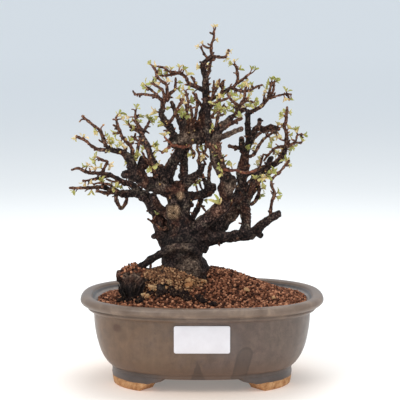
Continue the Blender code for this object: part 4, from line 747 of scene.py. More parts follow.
def fused_wood(routes, names, material):
    """The trunk, the roots and the thick limbs, grown into one rough surface."""
    parts = [tube(routes[name], FUSED_WOOD_SIDES, FUSED_WOOD_ROUGHNESS, i, cut=True)[:2]
             for i, name in enumerate(names)]
    parts += [ball(seen(x, depth, height), half, 50 + i) for i, (x, depth, height, *half) in enumerate(BURLS)]
    draw = random.Random(SEED + 1)
    for _ in range(SMALL_BURLS):
        route = routes[draw.choice(BURLED)]
        at = draw.randrange(len(route.centres) // 4, len(route.centres) - 2)
        side = sideways(route.tangents[at], draw)
        size = draw.uniform(*SMALL_BURL_SIZES)
        parts.append(ball(route.centres[at] + side * (route.radii[at] + size * 0.1), (size, size, size), 90))
    raw = Piece()
    for points, faces in parts:
        raw.add(points, faces)
    obj = raw.build("raw wood", material)
    add_modifier(obj, "REMESH", mode="VOXEL", voxel_size=WOOD_VOXEL * MM)
    add_modifier(obj, "SMOOTH", factor=0.5, iterations=3)
    mesh = evaluated_mesh(obj)
    bpy.data.objects.remove(obj, do_unlink=True)
    points = in_mm(mesh)
    normals = read_vectors(mesh.vertex_normals, "vector")
    quads = np.array([polygon.vertices[:] for polygon in mesh.polygons if len(polygon.vertices) == 4])
    bpy.data.meshes.remove(mesh)
    relief, radii = bark_relief(points, routes, names)
    points = points + normals * relief[:, None]
    shown = Piece()
    shown.add(points, [quads], wood_tints(points, np.maximum(radii, 2.0), 0.5 + relief / 1.6))
    return shown.build("tree_trunk_and_limbs", material)


def bark_relief(points, routes, names):
    """How far bark stands out at each point, in mm, and the wood's radius there."""
    parts = joined(routes, names, "centres", "tangents", "normals", "binormals", "lengths", "radii")
    parts.append(np.concatenate([np.full(len(routes[name].radii), i * 53.0) for i, name in enumerate(names)]))
    tree = kd_tree(parts[0])
    at = np.array([tree.find(point)[1] for point in points])
    centres, tangents, normals, binormals, lengths, radii, offsets = [part[at] for part in parts]
    away = points - centres
    along = lengths + np.sum(away * tangents, axis=1) + offsets
    local = np.column_stack([np.sum(away * normals, axis=1), np.sum(away * binormals, axis=1), along * 0.5])
    plates = layered_noise(local, 3.4, 5)
    cracks = 1 - np.abs(noise_at(local, 2.3, 21)) * 2
    pits = smoothstep(0.45, 0.8, noise_at(points, 1.7, 31))
    amount = np.clip(0.14 * radii, 0.25, 0.75)
    return amount * (0.75 * plates - 0.55 * np.clip(cracks, 0, 1) ** 3 - 0.7 * pits + 0.2), radii


def twigs(routes, names, material, title):
    piece = Piece()
    for i, name in enumerate(names):
        route = routes[name]
        sides = STOUT_TWIG_SIDES if route.radii[0] > STOUT_TWIG else TWIG_SIDES
        add_wood(piece, tube(route, sides, TWIG_ROUGHNESS, 200 + i))
    return piece.build(title, material)


def spurs_and_stems(routes, names, tufts, material, draw):
    """The short spurs of old shoots, and the thin stems that carry the leaves."""
    piece = Piece()
    ends = []
    for name in names:
        route = routes[name]
        travelled = draw.uniform(0, SPUR_SPACING)
        for k in range(2, len(route.centres) - 1):
            travelled += ROUTE_SPACING
            if travelled < SPUR_SPACING or route.radii[k] > THICKEST_SPURRED_WOOD:
                continue
            travelled = draw.uniform(-4, 4)
            side = sideways(route.tangents[k], draw)
            forward = unit(side + route.tangents[k] * draw.uniform(0.1, 0.9))
            thick = route.radii[k] > STUB_WOOD
            reach = draw.uniform(0.4, 1.3) if thick else draw.uniform(1.2, 4.0)
            start = route.centres[k] + forward * route.radii[k] * 0.5
            end = route.centres[k] + forward * (route.radii[k] + reach)
            bend = sideways(forward, draw) * reach * 0.2
            width = draw.uniform(0.9, 1.7) if thick else draw.uniform(0.5, 1.05)
            spur = Route([start, (start + end) / 2 + bend, end], [width * 1.4, width, width * 0.85], 0.6)
            add_wood(piece, tube(spur, SPUR_SIDES, 0.16, 17, cut=True), more=0.5)
            ends.append((spur.centres[-1], spur.tangents[-1], width))
    for root, target, width in tufts:
        bend = sideways(unit(target - root), draw) * 0.5
        stem = Route([root, (root + target) / 2 + bend, target], [width * 1.5, width, width * 0.9], 0.6)
        add_wood(piece, tube(stem, SPUR_SIDES, 0.14, 23), 0.9)
    return piece.build("tree_spurs", material), ends


# Leaves and buds


def leaf_template(width, fold, curl):
    """A young leaf of length 1, narrow at its foot, folded at its midrib, with
    fine teeth. The point colours hold the way along and across."""
    lengths, columns = 9, 4
    points, tints = [], []
    x = z = 0.0
    for i in range(lengths + 1):
        t = i / lengths
        if i:
            x += math.cos(curl * t) / lengths
            z += math.sin(curl * t) / lengths
        half = width * (0.09 + 0.91 * math.sin(math.pi * min(t * 1.02, 1) ** 1.5) ** 0.85)
        if t > 0.3:
            half *= 1 + 0.09 * (i % 2 * 2 - 1)
        half = max(half if i < lengths else 0.0, 0.004)
        for k in range(columns + 1):
            s = k / columns * 2 - 1
            ripple = 0.03 * math.sin(7 * t + 3 * s) * abs(s)
            points.append((x - math.sin(curl * t) * abs(s) * half * math.sin(fold),
                           s * half * math.cos(fold),
                           z + abs(s) * half * math.sin(fold) * math.cos(curl * t) + ripple))
            tints.append((t, abs(s), 0, 1))
    corners = (np.arange(lengths)[:, None] * (columns + 1) + np.arange(columns)).reshape(-1, 1)
    return np.array(points), np.array(tints), [corners + np.array((0, 1, columns + 2, columns + 1))]


def add_leaf(piece, template, root, forward, up, length, shade):
    points, tints, faces = template
    x_axis = unit(forward)
    y_axis = unit(np.cross(up, x_axis))
    z_axis = np.cross(x_axis, y_axis)
    tints = tints.copy()
    tints[:, 2] = shade
    piece.add(points @ np.array([x_axis, y_axis, z_axis]) * length + root, faces, tints)


def add_tuft(piece, templates, root, axis, size, count, draw):
    """Young leaves that fan out round a shoot's tip, the outer ones longer."""
    side = sideways(axis, draw)
    other = np.cross(axis, side)
    turn = draw.uniform(0, math.tau)
    shade = draw.random() if size > PALE_TUFT else draw.uniform(0.8, 1)
    for k in range(count):
        share = (k + 0.6) / count
        turn += GOLDEN_ANGLE + draw.uniform(-0.3, 0.3)
        outward = side * math.cos(turn) + other * math.sin(turn)
        lean = math.radians(8 + 42 * share) * draw.uniform(0.7, 1.2)
        forward = axis * math.cos(lean) + outward * math.sin(lean)
        up = axis * math.sin(lean) - outward * math.cos(lean)
        length = size * (0.55 + 0.45 * share) * draw.uniform(0.8, 1.15)
        start = root - axis * 0.3 + outward * 0.25
        own = min(max(shade + draw.uniform(-0.22, 0.22), 0), 1)
        add_leaf(piece, draw.choice(templates), start, forward, up, length, own)


def plan_tufts(routes, names, draw):
    """Where each tuft's stem starts and ends, its axis, size and leaf count."""
    centres, radii, tangents = joined(routes, names, "centres", "radii", "tangents")
    thin = radii <= THICKEST_LEAFY_WOOD
    centres, radii, tangents = centres[thin], radii[thin], tangents[thin]
    plans = []
    for x, height in LEAF_SPOTS:
        at = nearest(centres, (x, height))
        root = centres[at]
        middle = np.array(seen(x, root[1], height))
        axis = unit(middle - root + sideways(tangents[at], draw) * 0.9 + tangents[at] * 0.5)
        end = root + axis * max(np.linalg.norm(middle - root) - 2.2, radii[at] + 0.5)
        size = draw.uniform(5.1, 6.5) * (1.0 if height < APEX_HEIGHT else APEX_TUFT_SHARE)
        plans.append((root, end, axis, size, draw.choice((5, 5, 6, 6, 7))))
    for name in DEPTH_LIMBS:
        route = routes[name]
        if route.radii[-1] > 2.0:
            continue
        for share in (0.3, 0.42, 0.54, 0.66, 0.78, 0.9, 1.0):
            at = int(share * (len(route.centres) - 1))
            place = front_view(route.centres[at:at + 1])[0]
            behind_leaves = min(math.dist(place, spot) for spot in LEAF_SPOTS) < LEAF_SPOT_REACH
            if route.radii[at] > THICKEST_LEAFY_WOOD or not behind_leaves or draw.random() < 0.15:
                continue
            axis = unit(sideways(route.tangents[at], draw) + route.tangents[at] * 0.5)
            root = route.centres[at]
            end = root + axis * (route.radii[at] + draw.uniform(0.8, 2.8))
            plans.append((root, end, axis, draw.uniform(4.8, 6.2), draw.choice((4, 5, 6))))
    return plans


def make_leaves(plans, routes, material, draw):
    templates = [leaf_template(*shape) for shape in LEAF_SHAPES]
    piece = Piece()
    for _, end, axis, size, count in plans:
        add_tuft(piece, templates, end, axis, size, count, draw)
    route = routes["front_right"]
    at = nearest(route.centres, BIG_TUFT)
    root = route.centres[at] + np.array((-0.3, -1.0, 0.2)) * route.radii[at] * 0.9
    for *forward, length, shade in BIG_TUFT_LEAVES:
        add_leaf(piece, templates[3], root, unit(np.array(forward)), np.array((0.3, -0.8, 0.4)), length, shade)
    return piece.build("tree_leaves", material)


def bud_template():
    """An egg-shaped bud of length 1 wrapped in overlapping scales."""
    lengths, sides = 8, 9
    points, tints = [], []
    for i, k in itertools.product(range(lengths + 1), range(sides)):
        t = i / lengths
        turn = math.tau * k / sides
        scale = 1 + 0.16 * math.cos(3 * turn + 6 * t)
        radius = 0.42 * math.sin(math.pi * (0.06 + 0.93 * t)) ** 0.8 * (1 - 0.35 * t) * scale
        points.append((t, radius * math.cos(turn), radius * math.sin(turn)))
        tints.append((t, 0.5 + 0.5 * math.cos(3 * turn + 6 * t), 0, 1))
    return np.array(points), np.array(tints), ring_faces(lengths + 1, sides)


def make_buds(routes, names, spur_ends, material, draw):
    template = bud_template()
    piece = Piece()
    centres, radii = joined(routes, names, "centres", "radii")
    for x, height, length in BUD_SPOTS:
        at = nearest(centres, (x, height))
        forward = unit(np.array((draw.uniform(-0.4, 0.4), -1.0, draw.uniform(0.0, 0.6))))
        root = centres[at] + forward * radii[at] * 0.8
        add_leaf(piece, template, root, forward, np.array((0, 0.3, 1.0)), length, draw.random())
    for end, tangent, _ in spur_ends:
        if draw.random() < SPUR_BUD_CHANCE:
            size = draw.uniform(1.3, 2.3)
            add_leaf(piece, template, end - tangent * 0.3, tangent, sideways(tangent, draw), size, draw.random())
    for name in names:
        route = routes[name]
        for k in range(6, len(route.centres) - 1, 8):
            if route.radii[k] > THICKEST_BUDDING_WOOD or draw.random() < 0.3:
                continue
            side = sideways(route.tangents[k], draw)
            root = route.centres[k] + side * route.radii[k] * 0.7
            add_leaf(piece, template, root, unit(side + route.tangents[k] * 1.2), side, draw.uniform(1.0, 1.9),
                     draw.random())
    return piece.build("tree_buds", material)


# Soil


def soil_height(x, y):
    spread_y = np.where(y < MOUND_MIDDLE[1], MOUND_SPREAD_FRONT, MOUND_SPREAD_BACK)
    mound = ((x - MOUND_MIDDLE[0]) / MOUND_SPREAD_X) ** 2 + ((y - MOUND_MIDDLE[1]) / spread_y) ** 2
    heap = ((x - ROOT_BALL_MIDDLE[0]) / ROOT_BALL_SPREAD[0]) ** 2
    heap = heap + ((y - ROOT_BALL_MIDDLE[1]) / ROOT_BALL_SPREAD[1]) ** 2
    return SOIL_EDGE + MOUND_HEIGHT * np.exp(-mound / 2) + ROOT_BALL_HEIGHT * np.exp(-heap / 2)


def oval_ring(half_length, half_width, height, sides=POT_SIDES):
    angles = np.arange(sides) * math.tau / sides
    x, y = [np.copysign(np.abs(wave) ** (2 / OVAL_POWER), wave) * half
            for wave, half in ((np.cos(angles), half_length), (np.sin(angles), half_width))]
    return np.column_stack([x, y, np.full(sides, float(height))])


def oval_at(height, rings):
    """The half length and half width at a height, from rings in order of height."""
    lengths, widths, heights = zip(*rings)
    return np.interp(height, heights, lengths), np.interp(height, heights, widths)


def inside_at(height):
    return oval_at(height, sorted([POT_LIP[-1]] + POT_INSIDE, key=lambda ring: ring[2]))


def make_soil_bed(material):
    """The soil's closed body, a little below the granules that cover it."""
    rings = []
    for height in (SOIL_FLOOR, 22, 34, 48, SOIL_EDGE - 2.5):
        half_length, half_width = inside_at(height)
        rings.append(oval_ring(half_length - 0.3, half_width - 0.3, height, BED_SIDES))
    for share in np.linspace(0.985, 0.02, BED_RINGS):
        ring = oval_ring(half_length * share, half_width * share, 0, BED_SIDES)
        ring[:, 2] = soil_height(ring[:, 0], ring[:, 1]) - BED_BELOW_GRAINS
        ring[:, 2] += 0.5 * noise_at(ring, 3.0, 8)
        rings.append(ring)
    piece = Piece()
    piece.add(np.concatenate(rings), ring_faces(len(rings), BED_SIDES), (0.2, 0.5, 0.5, 1))
    return piece.build("soil_bed", material)


def scattered(spacing, draw, margin=1.2):
    """Places about this far apart over the pot, each with its share of ochre soil
    and the soil's height."""
    places = []
    half_length, half_width = inside_at(SOIL_EDGE)
    row = 0
    y = -half_width
    while y < half_width:
        x = -half_length + (spacing / 2 if row % 2 else 0)
        while x < half_length:
            places.append((x + draw.uniform(-0.34, 0.34) * spacing, y + draw.uniform(-0.34, 0.34) * spacing))
            x += spacing
        y += spacing * 0.86
        row += 1
    x, y = np.array(places).T
    within = np.abs(x / (half_length - margin)) ** OVAL_POWER + np.abs(y / (half_width - margin)) ** OVAL_POWER < 1
    x, y = x[within], y[within]
    return zip(x, y, ochre_share(x, y), soil_height(x, y))


def ochre_share(x, y):
    """How much of the soil at a place is the root ball's fine, ochre soil."""
    away = np.hypot((x - OCHRE_MIDDLE[0]) / OCHRE_SPREAD[0], (y - OCHRE_MIDDLE[1]) / OCHRE_SPREAD[1])
    places = np.column_stack([x, y, np.zeros(len(x))])
    return 1 - smoothstep(0.8, 1.15, away + 0.22 * noise_at(places, 6, 4))


def add_lump(piece, template, middle, size, turn, tilt, tint):
    points, faces = template
    cosine, sine = math.cos(turn), math.sin(turn)
    spin = np.array([(cosine, -sine, 0), (sine, cosine, 0), (0, 0, 1)])
    cosine, sine = math.cos(tilt), math.sin(tilt)
    roll = np.array([(1, 0, 0), (0, cosine, -sine), (0, sine, cosine)])
    piece.add((points * size) @ roll.T @ spin.T + middle, faces, tint)


def drop(piece, template, middle, size, draw, tilt, tint=None):
    """Adds a lump that lies at random, tilted up to this far."""
    turn = draw.uniform(0, math.tau)
    tilt = draw.uniform(-tilt, tilt)
    add_lump(piece, template, middle, size, turn, tilt, tint or random_tint(draw))


def crust_places(trunk, draw):
    """Points on the wood that the ochre crust covers."""
    surface = BVHTree.FromPolygons(in_mm(trunk.data).tolist(), [face.vertices[:] for face in trunk.data.polygons])
    top, foot = np.array(CRUST_TOP).T, np.array(CRUST_FOOT).T
    places = []
    for x in np.arange(top[0][0], top[0][-1], CRUST_SPACING):
        for height in np.arange(np.interp(x, *foot), np.interp(x, *top), CRUST_SPACING):
            across, up = x + draw.uniform(-0.4, 0.4), height + draw.uniform(-0.4, 0.4)
            start, behind = np.array(seen(across, -60.0, up)), np.array(seen(across, 0.0, up))
            hit = surface.ray_cast(start.tolist(), unit(behind - start).tolist())[0]
            if hit is not None and hit.z > float(soil_height(hit.x, hit.y)) - 1.0:
                places.append(hit)
    return places


def make_granules(routes, trunk, red, ochre, draw):
    """Baked clay granules over the whole bed, and finer ochre ones by the trunk."""
    templates = [shell_template(1, draw, *GRAIN_FORM) for _ in range(12)]
    centres, radii = joined(routes, ["trunk", "stump", *ROOTS], "centres", "radii")
    wood = kd_tree(centres)
    level, mound, fine = Piece(), Piece(), Piece()

    def add_grain(piece, place, size):
        tint = random_tint(draw)
        drop(piece, draw.choice(templates), place, size, draw, GRAIN_TILT, tint)

    for x, y, share, height in scattered(GRAIN_SPACING, draw):
        if draw.random() < share:
            continue
        z = height - 1.3 + draw.uniform(-0.45, 0.75)
        _, at, away = wood.find((x, y, z))
        if away <= radii[at] - 0.4:
            continue
        size = three(draw, *GRAIN_SIZES) * draw.uniform(0.8, 1.1)
        add_grain(mound if height > SOIL_EDGE + MOUND_FROM else level, (x, y, z), size)
    for x, y, share, height in scattered(OCHRE_SPACING, draw):
        if draw.random() <= share:
            z = height - 1.1 + draw.uniform(-0.5, 0.9)
            add_grain(fine, (x, y, z), three(draw, *OCHRE_SIZES) * draw.choice((0.8, 1.0, 1.0, 1.3)))
    for place in crust_places(trunk, draw):
        add_grain(fine, np.array(place), three(draw, *CRUST_SIZES) * draw.choice((0.8, 1.0, 1.0, 1.2)))
    return [level.build("soil_granules_level", red), mound.build("soil_granules_mound", red),
            fine.build("soil_root_ball", ochre)]


def make_pebbles(material, draw):
    """Rough pebbles, each with crumbs round it."""
    piece = Piece()
    for x, y, size in PEBBLES:
        template = shell_template(3, draw, *PEBBLE_FORM)
        z = float(soil_height(x, y)) + size * 0.35
        sizes = np.array([size * draw.uniform(0.85, 1.2), size * draw.uniform(0.8, 1.1), size * 0.8])
        drop(piece, template, (x, y, z), sizes, draw, 0.4)
        for _ in range(int(size * CRUMBS_PER_PEBBLE_MM)):
            turn = draw.uniform(0, math.tau)
            crumb = three(draw, 0.5, 1.1)
            edge = (x + size * math.cos(turn), y + size * math.sin(turn), z + size * draw.uniform(-0.6, 0.5))
            add_lump(piece, shell_template(1, draw, *GRAIN_FORM), edge, crumb, turn,
                     draw.uniform(-GRAIN_TILT, GRAIN_TILT), random_tint(draw))
    return piece.build("soil_pebbles", material)


def add_fibre(piece, points, radius, tint, sides=5):
    route = Route(points, np.linspace(radius, radius * 0.6, len(points)), 1.2)
    piece.add(*tube(route, sides, 0.05, 3)[:2], tint)


def make_moss(material, draw):
    """Dark, damp clumps of moss and root crumbs on the soil."""
    templates = [shell_template(1, draw, *MOSS_FORM) for _ in range(6)]
    piece = Piece()
    for x, y, reach in MOSS_CLUMPS:
        for _ in range(MOSS_CRUMBS):
            turn = draw.uniform(0, math.tau)
            away = reach * draw.uniform(0.2, 1.25)
            place_x, place_y = x + away * math.cos(turn), y + 0.8 * away * math.sin(turn)
            ground = float(soil_height(place_x, place_y))
            lift = 0.9 * max(1 - (away / reach) ** 2, 0)
            size = three(draw, 0.35, 0.95)
            add_lump(piece, draw.choice(templates), (place_x, place_y, ground + lift * draw.random() + 0.6), size,
                     draw.uniform(0, math.tau), draw.uniform(-1, 1), (draw.random(), draw.random(), 0, 1))
        for _ in range(MOSS_FIBRES):
            start = np.array((x, y, 0.0)) + np.array([draw.gauss(0, reach * 0.5), draw.gauss(0, reach * 0.4), 0])
            start[2] = float(soil_height(start[0], start[1])) + 0.8
            step = np.array([draw.gauss(0, 1.4), draw.gauss(0, 1.2), draw.uniform(0.2, 1.6)])
            end = start + step * 1.6 - np.array((0, 0, 1.2))
            add_fibre(piece, [start, start + step, end], 0.16, (draw.random(), 0.2, 1, 1), 4)
    return piece.build("soil_moss", material)


def make_fine_roots(material, draw):
    """Wiry roots that hang from the old stump into the soil."""
    piece = Piece()
    for _ in range(FINE_ROOTS):
        x = draw.uniform(*FINE_ROOT_X)
        turn = draw.uniform(math.pi * 0.9, math.pi * 2.1)
        y = STUMP_MIDDLE[0] + STUMP_HALF[0] * math.cos(turn)
        z = STUMP_MIDDLE[1] + STUMP_HALF[1] * math.sin(turn)
        foot_x = FINE_ROOT_FOOT_X + (x - sum(FINE_ROOT_X) / 2) * 0.55 + draw.gauss(0, 1.8)
        foot_y = y + draw.gauss(-2.0, 2.0)
        foot_z = float(soil_height(foot_x, foot_y)) - 0.5
        middle = (x * 0.5 + foot_x * 0.5 + draw.gauss(0, 1.0), y * 0.5 + foot_y * 0.5 - 1.0 + draw.gauss(0, 0.8),
                  z * 0.55 + foot_z * 0.45)
        add_fibre(piece, [(x, y, z), middle, (foot_x, foot_y, foot_z)], draw.uniform(0.3, 0.8),
                  (0.0, draw.uniform(0.1, 0.6), 0.0, draw.uniform(0.0, 0.4)))
    return piece.build("tree_fine_roots", material)


def make_stump_crumbs(routes, material, draw):
    """Red granules and dry fibres that lie on top of the old stump."""
    templates = [shell_template(1, draw, *GRAIN_FORM) for _ in range(5)]
    piece = Piece()
    route = routes["stump"]
    for _ in range(STUMP_CRUMBS):
        at = draw.randrange(4, len(route.centres) // 2)
        turn = draw.gauss(0, 0.55)
        centre, radius = route.centres[at], route.radii[at]
        pile = CRUMB_PILE_HEIGHT * math.exp(-((centre[0] - CRUMB_PILE_X) / CRUMB_PILE_REACH) ** 2 - turn * turn)
        lift = draw.uniform(-0.2, 1.2) + pile * draw.random()
        place = centre + np.array((0, math.sin(turn), math.cos(turn))) * (radius + lift)
        size = three(draw, 0.6, 1.2)
        drop(piece, draw.choice(templates), place, size, draw, 1)
    for _ in range(STUMP_FIBRES):
        at = draw.randrange(6, len(route.centres) // 2)
        start = route.centres[at] + np.array((draw.gauss(0, 1), draw.gauss(0, 2), route.radii[at]))
        lean = np.array((draw.gauss(0, 1.2), draw.gauss(0, 1.2), draw.uniform(2.0, 4.6)))
        add_fibre(piece, [start, start + lean * 0.6, start + lean + np.array((draw.gauss(0, 0.8), 0, 0))], 0.14,
                  (0.9, 0.9, 0.2, 1), 4)
    return piece.build("soil_stump_crumbs", material)


# Pot and label


def smooth_rings(rings, steps):
    return smooth_through(np.array(rings, float), np.arange(steps) / steps)


def foot_rings(side_x, side_y):
    rings = []
    for height, first, last, inset in smooth_rings(FOOT_LEVELS, 2):
        angles = np.radians(np.linspace(first, last, FOOT_ARC_POINTS))
        points = []
        for depth, turns in ((inset, angles), (inset + FOOT_DEPTH, angles[::-1])):
            half_length, half_width = POT_OUTSIDE[1][0] - depth, POT_OUTSIDE[1][1] - depth
            points += [(side_x * math.cos(turn) ** (2 / OVAL_POWER) * half_length,
                        side_y * math.sin(turn) ** (2 / OVAL_POWER) * half_width, height) for turn in turns]
        rings.append(np.array(points))
    return rings


def closed_object(name, rings, material):
    piece = Piece()
    piece.add(np.concatenate(rings), ring_faces(len(rings), len(rings[0])))
    obj = piece.build(name, material)
    bm = bmesh.new()
    bm.from_mesh(obj.data)
    bmesh.ops.recalc_face_normals(bm, faces=bm.faces)
    bm.to_mesh(obj.data)
    bm.free()
    return obj


def make_pot(material):
    rings = []
    for half_length, half_width, height in smooth_rings(POT_OUTSIDE + POT_LIP + POT_INSIDE, RING_STEPS):
        ring = oval_ring(half_length, half_width, height)
        wobble = 0.22 * noise_at(ring, 26, 12) + 0.07 * noise_at(ring, 7, 13)
        ring[:, :2] *= (1 + wobble / 70)[:, None]
        rings.append(ring)
    pot = closed_object("pot_body", rings, material)
    others = []
    for side_x, side_y in itertools.product((-1, 1), (-1, 1)):
        foot = closed_object("foot", foot_rings(side_x, side_y), material)
        add_modifier(foot, "BEVEL", width=0.6 * MM, segments=3, angle_limit=math.radians(40))
        others.append((foot, "UNION"))
    angles = np.arange(DRAIN_HOLE_SIDES) * math.tau / DRAIN_HOLE_SIDES
    for side in (-1, 1):
        rings = [np.column_stack([side * DRAIN_HOLE_X + DRAIN_HOLE_RADIUS * np.cos(angles),
                                  DRAIN_HOLE_RADIUS * np.sin(angles), np.full(DRAIN_HOLE_SIDES, height)])
                 for height in (-6.0, 24.0)]
        others.append((closed_object("hole", rings, material), "DIFFERENCE"))
    for other, operation in others:
        add_modifier(pot, "BOOLEAN", object=other, operation=operation, solver="MANIFOLD")
    mesh = evaluated_mesh(pot)
    pot.modifiers.clear()
    pot.data = mesh
    for other, _ in others:
        bpy.data.objects.remove(other, do_unlink=True)
    mesh.shade_smooth()
    mesh.set_sharp_from_angle(angle=math.radians(42))
    return pot


def wall_front(x, height):
    """How far in front of the middle the pot's outside is."""
    half_length, half_width = oval_at(height, POT_OUTSIDE)
    return half_width * (1 - abs(x / half_length) ** OVAL_POWER) ** (1 / OVAL_POWER)


def make_label(material):
    """A blank laminated card with round corners that follows the pot's wall."""
    low = (LABEL_LOW - POT_MIDDLE) / MM
    high = (LABEL_HIGH - POT_MIDDLE) / MM
    half_x, half_z = (high.x - low.x) / 2, (high.z - low.z) / 2
    middle_z = (high.z + low.z) / 2
    outline = []
    for corner_x, corner_z, first in ((1, 1, 0), (-1, 1, 90), (-1, -1, 180), (1, -1, 270)):
        for turn in np.radians(np.linspace(first, first + 90, 7)):
            outline.append((corner_x * (half_x - LABEL_CORNER) + LABEL_CORNER * math.cos(turn),
                            corner_z * (half_z - LABEL_CORNER) + LABEL_CORNER * math.sin(turn)))
    outline = np.array(outline)
    rings = []
    for share, lift in ((1.0, 0.0), (1.0, 0.30), (0.997, 0.42), (0.99, 0.5), (0.93, 0.5), (0.8, 0.5), (0.6, 0.5),
                        (0.4, 0.5), (0.2, 0.5), (0.02, 0.5)):
        inner = outline * (1 - (1 - share) * np.array((1.0, half_x / half_z)) if share > 0.9 else share)
        x, z = inner[:, 0], inner[:, 1] + middle_z
        depth = np.array([wall_front(a, b) for a, b in zip(x, z)])
        bow = 0.22 * (np.abs(x) / half_x) ** 4
        rings.append(np.column_stack([x, -(depth + LABEL_GAP + lift + bow), z]))
    piece = Piece()
    piece.add(np.concatenate(rings), ring_faces(len(rings), len(outline)))
    return piece.build("label_card", material)


# Materials


class Paint:
    """One Principled material, built by short calls that return sockets."""

    def __init__(self, name, roughness, specular=0.5):
        self.material = bpy.data.materials.new(name)
        self.material.use_nodes = True
        self.nodes = self.material.node_tree.nodes
        self.links = self.material.node_tree.links
        self.shader = self.nodes["Principled BSDF"]
        self.shader.inputs["Roughness"].default_value = roughness
        self.shader.inputs["Specular IOR Level"].default_value = specular

    def add(self, kind, inputs=(), **settings):
        node = self.nodes.new("ShaderNode" + kind)
        for name, value in settings.items():
            setattr(node, name, value)
        for key, value in dict(inputs).items():
            self.put(node.inputs[key], value)
        return node

    def put(self, socket, value):
        if isinstance(value, bpy.types.NodeSocket):
            self.links.new(value, socket)
        else:
            socket.default_value = value

    def place(self, stretch=(1, 1, 1)):
        """The point in mm from the middle of the pot, as in the tables."""
        where = self.add("TexCoord").outputs["Object"]
        moved = self.add("VectorMath", {0: where, 1: POT_MIDDLE}, operation="SUBTRACT").outputs[0]
        sizes = tuple(value / MM for value in stretch)
        return self.add("VectorMath", {0: moved, 1: sizes}, operation="MULTIPLY").outputs[0]

    def noise(self, size, detail=4.0, stretch=(1, 1, 1), distortion=0.0):
        """Noise with features of about this many mm."""
        return self.add("TexNoise", {"Vector": self.place(stretch), "Scale": 1 / size, "Detail": detail,
                                     "Roughness": 0.6, "Distortion": distortion}).outputs["Fac"]

    def ramp(self, value, stops):
        """A colour ramp, from stops of a position and a level, or a position and
        the 0 to 255 numbers of a colour."""
        node = self.add("ValToRGB", {"Fac": value})
        elements = node.color_ramp.elements
        while len(elements) < len(stops):
            elements.new(0.5)
        for element, (position, *levels) in zip(elements, stops):
            element.position = position
            element.color = srgb(*levels) if len(levels) == 3 else (*levels * 3, 1)
        return node.outputs["Color"]

    def over(self, colour, other, share, amount=1, blend="MIX"):
        """This much of another colour laid over the first. Three numbers go from 0
        to 255."""
        if amount != 1:
            share = self.times(share, amount)
        if isinstance(other, tuple) and len(other) == 3:
            other = srgb(*other)
        return self.add("Mix", {0: share, 6: colour, 7: other}, data_type="RGBA", blend_type=blend).outputs[2]

    def shaded(self, colour, shade):
        return self.over(colour, shade, 1.0, blend="MULTIPLY")

    def maths(self, operation, first, second=0.0):
        return self.add("Math", {0: first, 1: second}, operation=operation).outputs[0]

    def times(self, first, second):
        return self.maths("MULTIPLY", first, second)

    def plus(self, first, second):
        return self.maths("ADD", first, second)

    def less(self, first, second):
        return self.maths("SUBTRACT", first, second)

    def size(self, value):
        return self.maths("ABSOLUTE", value)

    def power(self, value, power):
        return self.maths("POWER", value, power)

    def between(self, value, low, high):
        """0 below low, 1 above high, smooth between."""
        return self.add("MapRange", {"Value": value, "From Min": low, "From Max": high},
                        interpolation_type="SMOOTHSTEP").outputs["Result"]

    def tint(self):
        """The four numbers of the point colours."""
        node = self.add("Attribute", attribute_name="tint")
        parts = self.add("SeparateColor", {0: node.outputs["Color"]})
        return (*parts.outputs[:3], node.outputs["Alpha"])

    def axes(self):
        return self.add("SeparateXYZ", {0: self.place()}).outputs[:3]

    def finish(self, colour, roughness=None, height=None, depth=0.3, strength=0.5):
        self.put(self.shader.inputs["Base Color"], colour)
        if roughness is not None:
            self.put(self.shader.inputs["Roughness"], roughness)
        if height is not None:
            bump = self.add("Bump", {"Height": height, "Distance": depth * MM, "Strength": strength})
            self.links.new(bump.outputs["Normal"], self.shader.inputs["Normal"])
        return self.material


def bark_material():
    """Near-black, knobbly bark with grey patches, painted shade in its cracks and
    painted highlights on its ridges; young shoots are smoother and red-brown."""
    paint = Paint("bark", 0.8, 0.16)
    young, relief, tan, pale = paint.tint()
    x, _, z = paint.axes()
    grain, speckle = paint.noise(1.5, 7), paint.noise(0.7, 5)
    old = [(0.36, 18, 13, 13), (0.52, 40, 29, 28), (0.72, 122, 98, 86)]
    grey = [(0.34, 30, 24, 22), (0.5, 70, 59, 51), (0.68, 146, 130, 112)]
    warm = [(0.34, 40, 20, 16), (0.52, 86, 50, 36), (0.7, 138, 96, 70)]
    # Darker wood low on the tree, fading in between 128 and 114 mm high.
    damp = [(0.4, 12, 9, 10), (0.7, 58, 46, 42)]
    shoot = [(0.34, 50, 30, 24), (0.5, 104, 68, 53), (0.68, 172, 128, 102)]
    # Paler, greyer wood, partly its own colour and partly a painted highlight on the arching root's top, the foot burl
    # and the front limbs.
    pale_and_highlit = [(0.34, 50, 38, 33), (0.5, 100, 81, 69), (0.68, 164, 142, 120)]
    colour = paint.ramp(grain, old)
    for stops, share, amount in ((grey, paint.between(paint.noise(8, 4), 0.52, 0.68), 1),
                                 (warm, paint.between(paint.noise(13, 3), 0.5, 0.66), 0.6),
                                 (damp, paint.between(z, 128, 114), 0.6), (shoot, young, 0.9), (pale_and_highlit, pale, 0.75)):
        colour = paint.over(colour, paint.ramp(grain, stops), share, amount)
    # Painted shade: a near-black laid over the old stump's underside.
    painted_stump_shade = paint.times(paint.between(z, *STUMP_SHADE_HEIGHTS), paint.between(x, *STUMP_SHADE_X))
    colour = paint.over(colour, (22, 16, 15), painted_stump_shade, 0.55)
    rough_tan = paint.ramp(speckle, [(0.36, 56, 38, 28), (0.5, 136, 106, 80), (0.66, 196, 168, 134)])
    colour = paint.over(colour, rough_tan, tan)
    # Painted shade in the cracks and painted highlights on the ridges, from the relief.
    colour = paint.shaded(colour, paint.ramp(relief, [(0.1, 0.1), (0.42, 0.68), (0.62, 1.15), (0.85, 1.9)]))
    return paint.finish(colour, None, paint.plus(grain, paint.times(speckle, 0.6)), 0.6, 0.8)


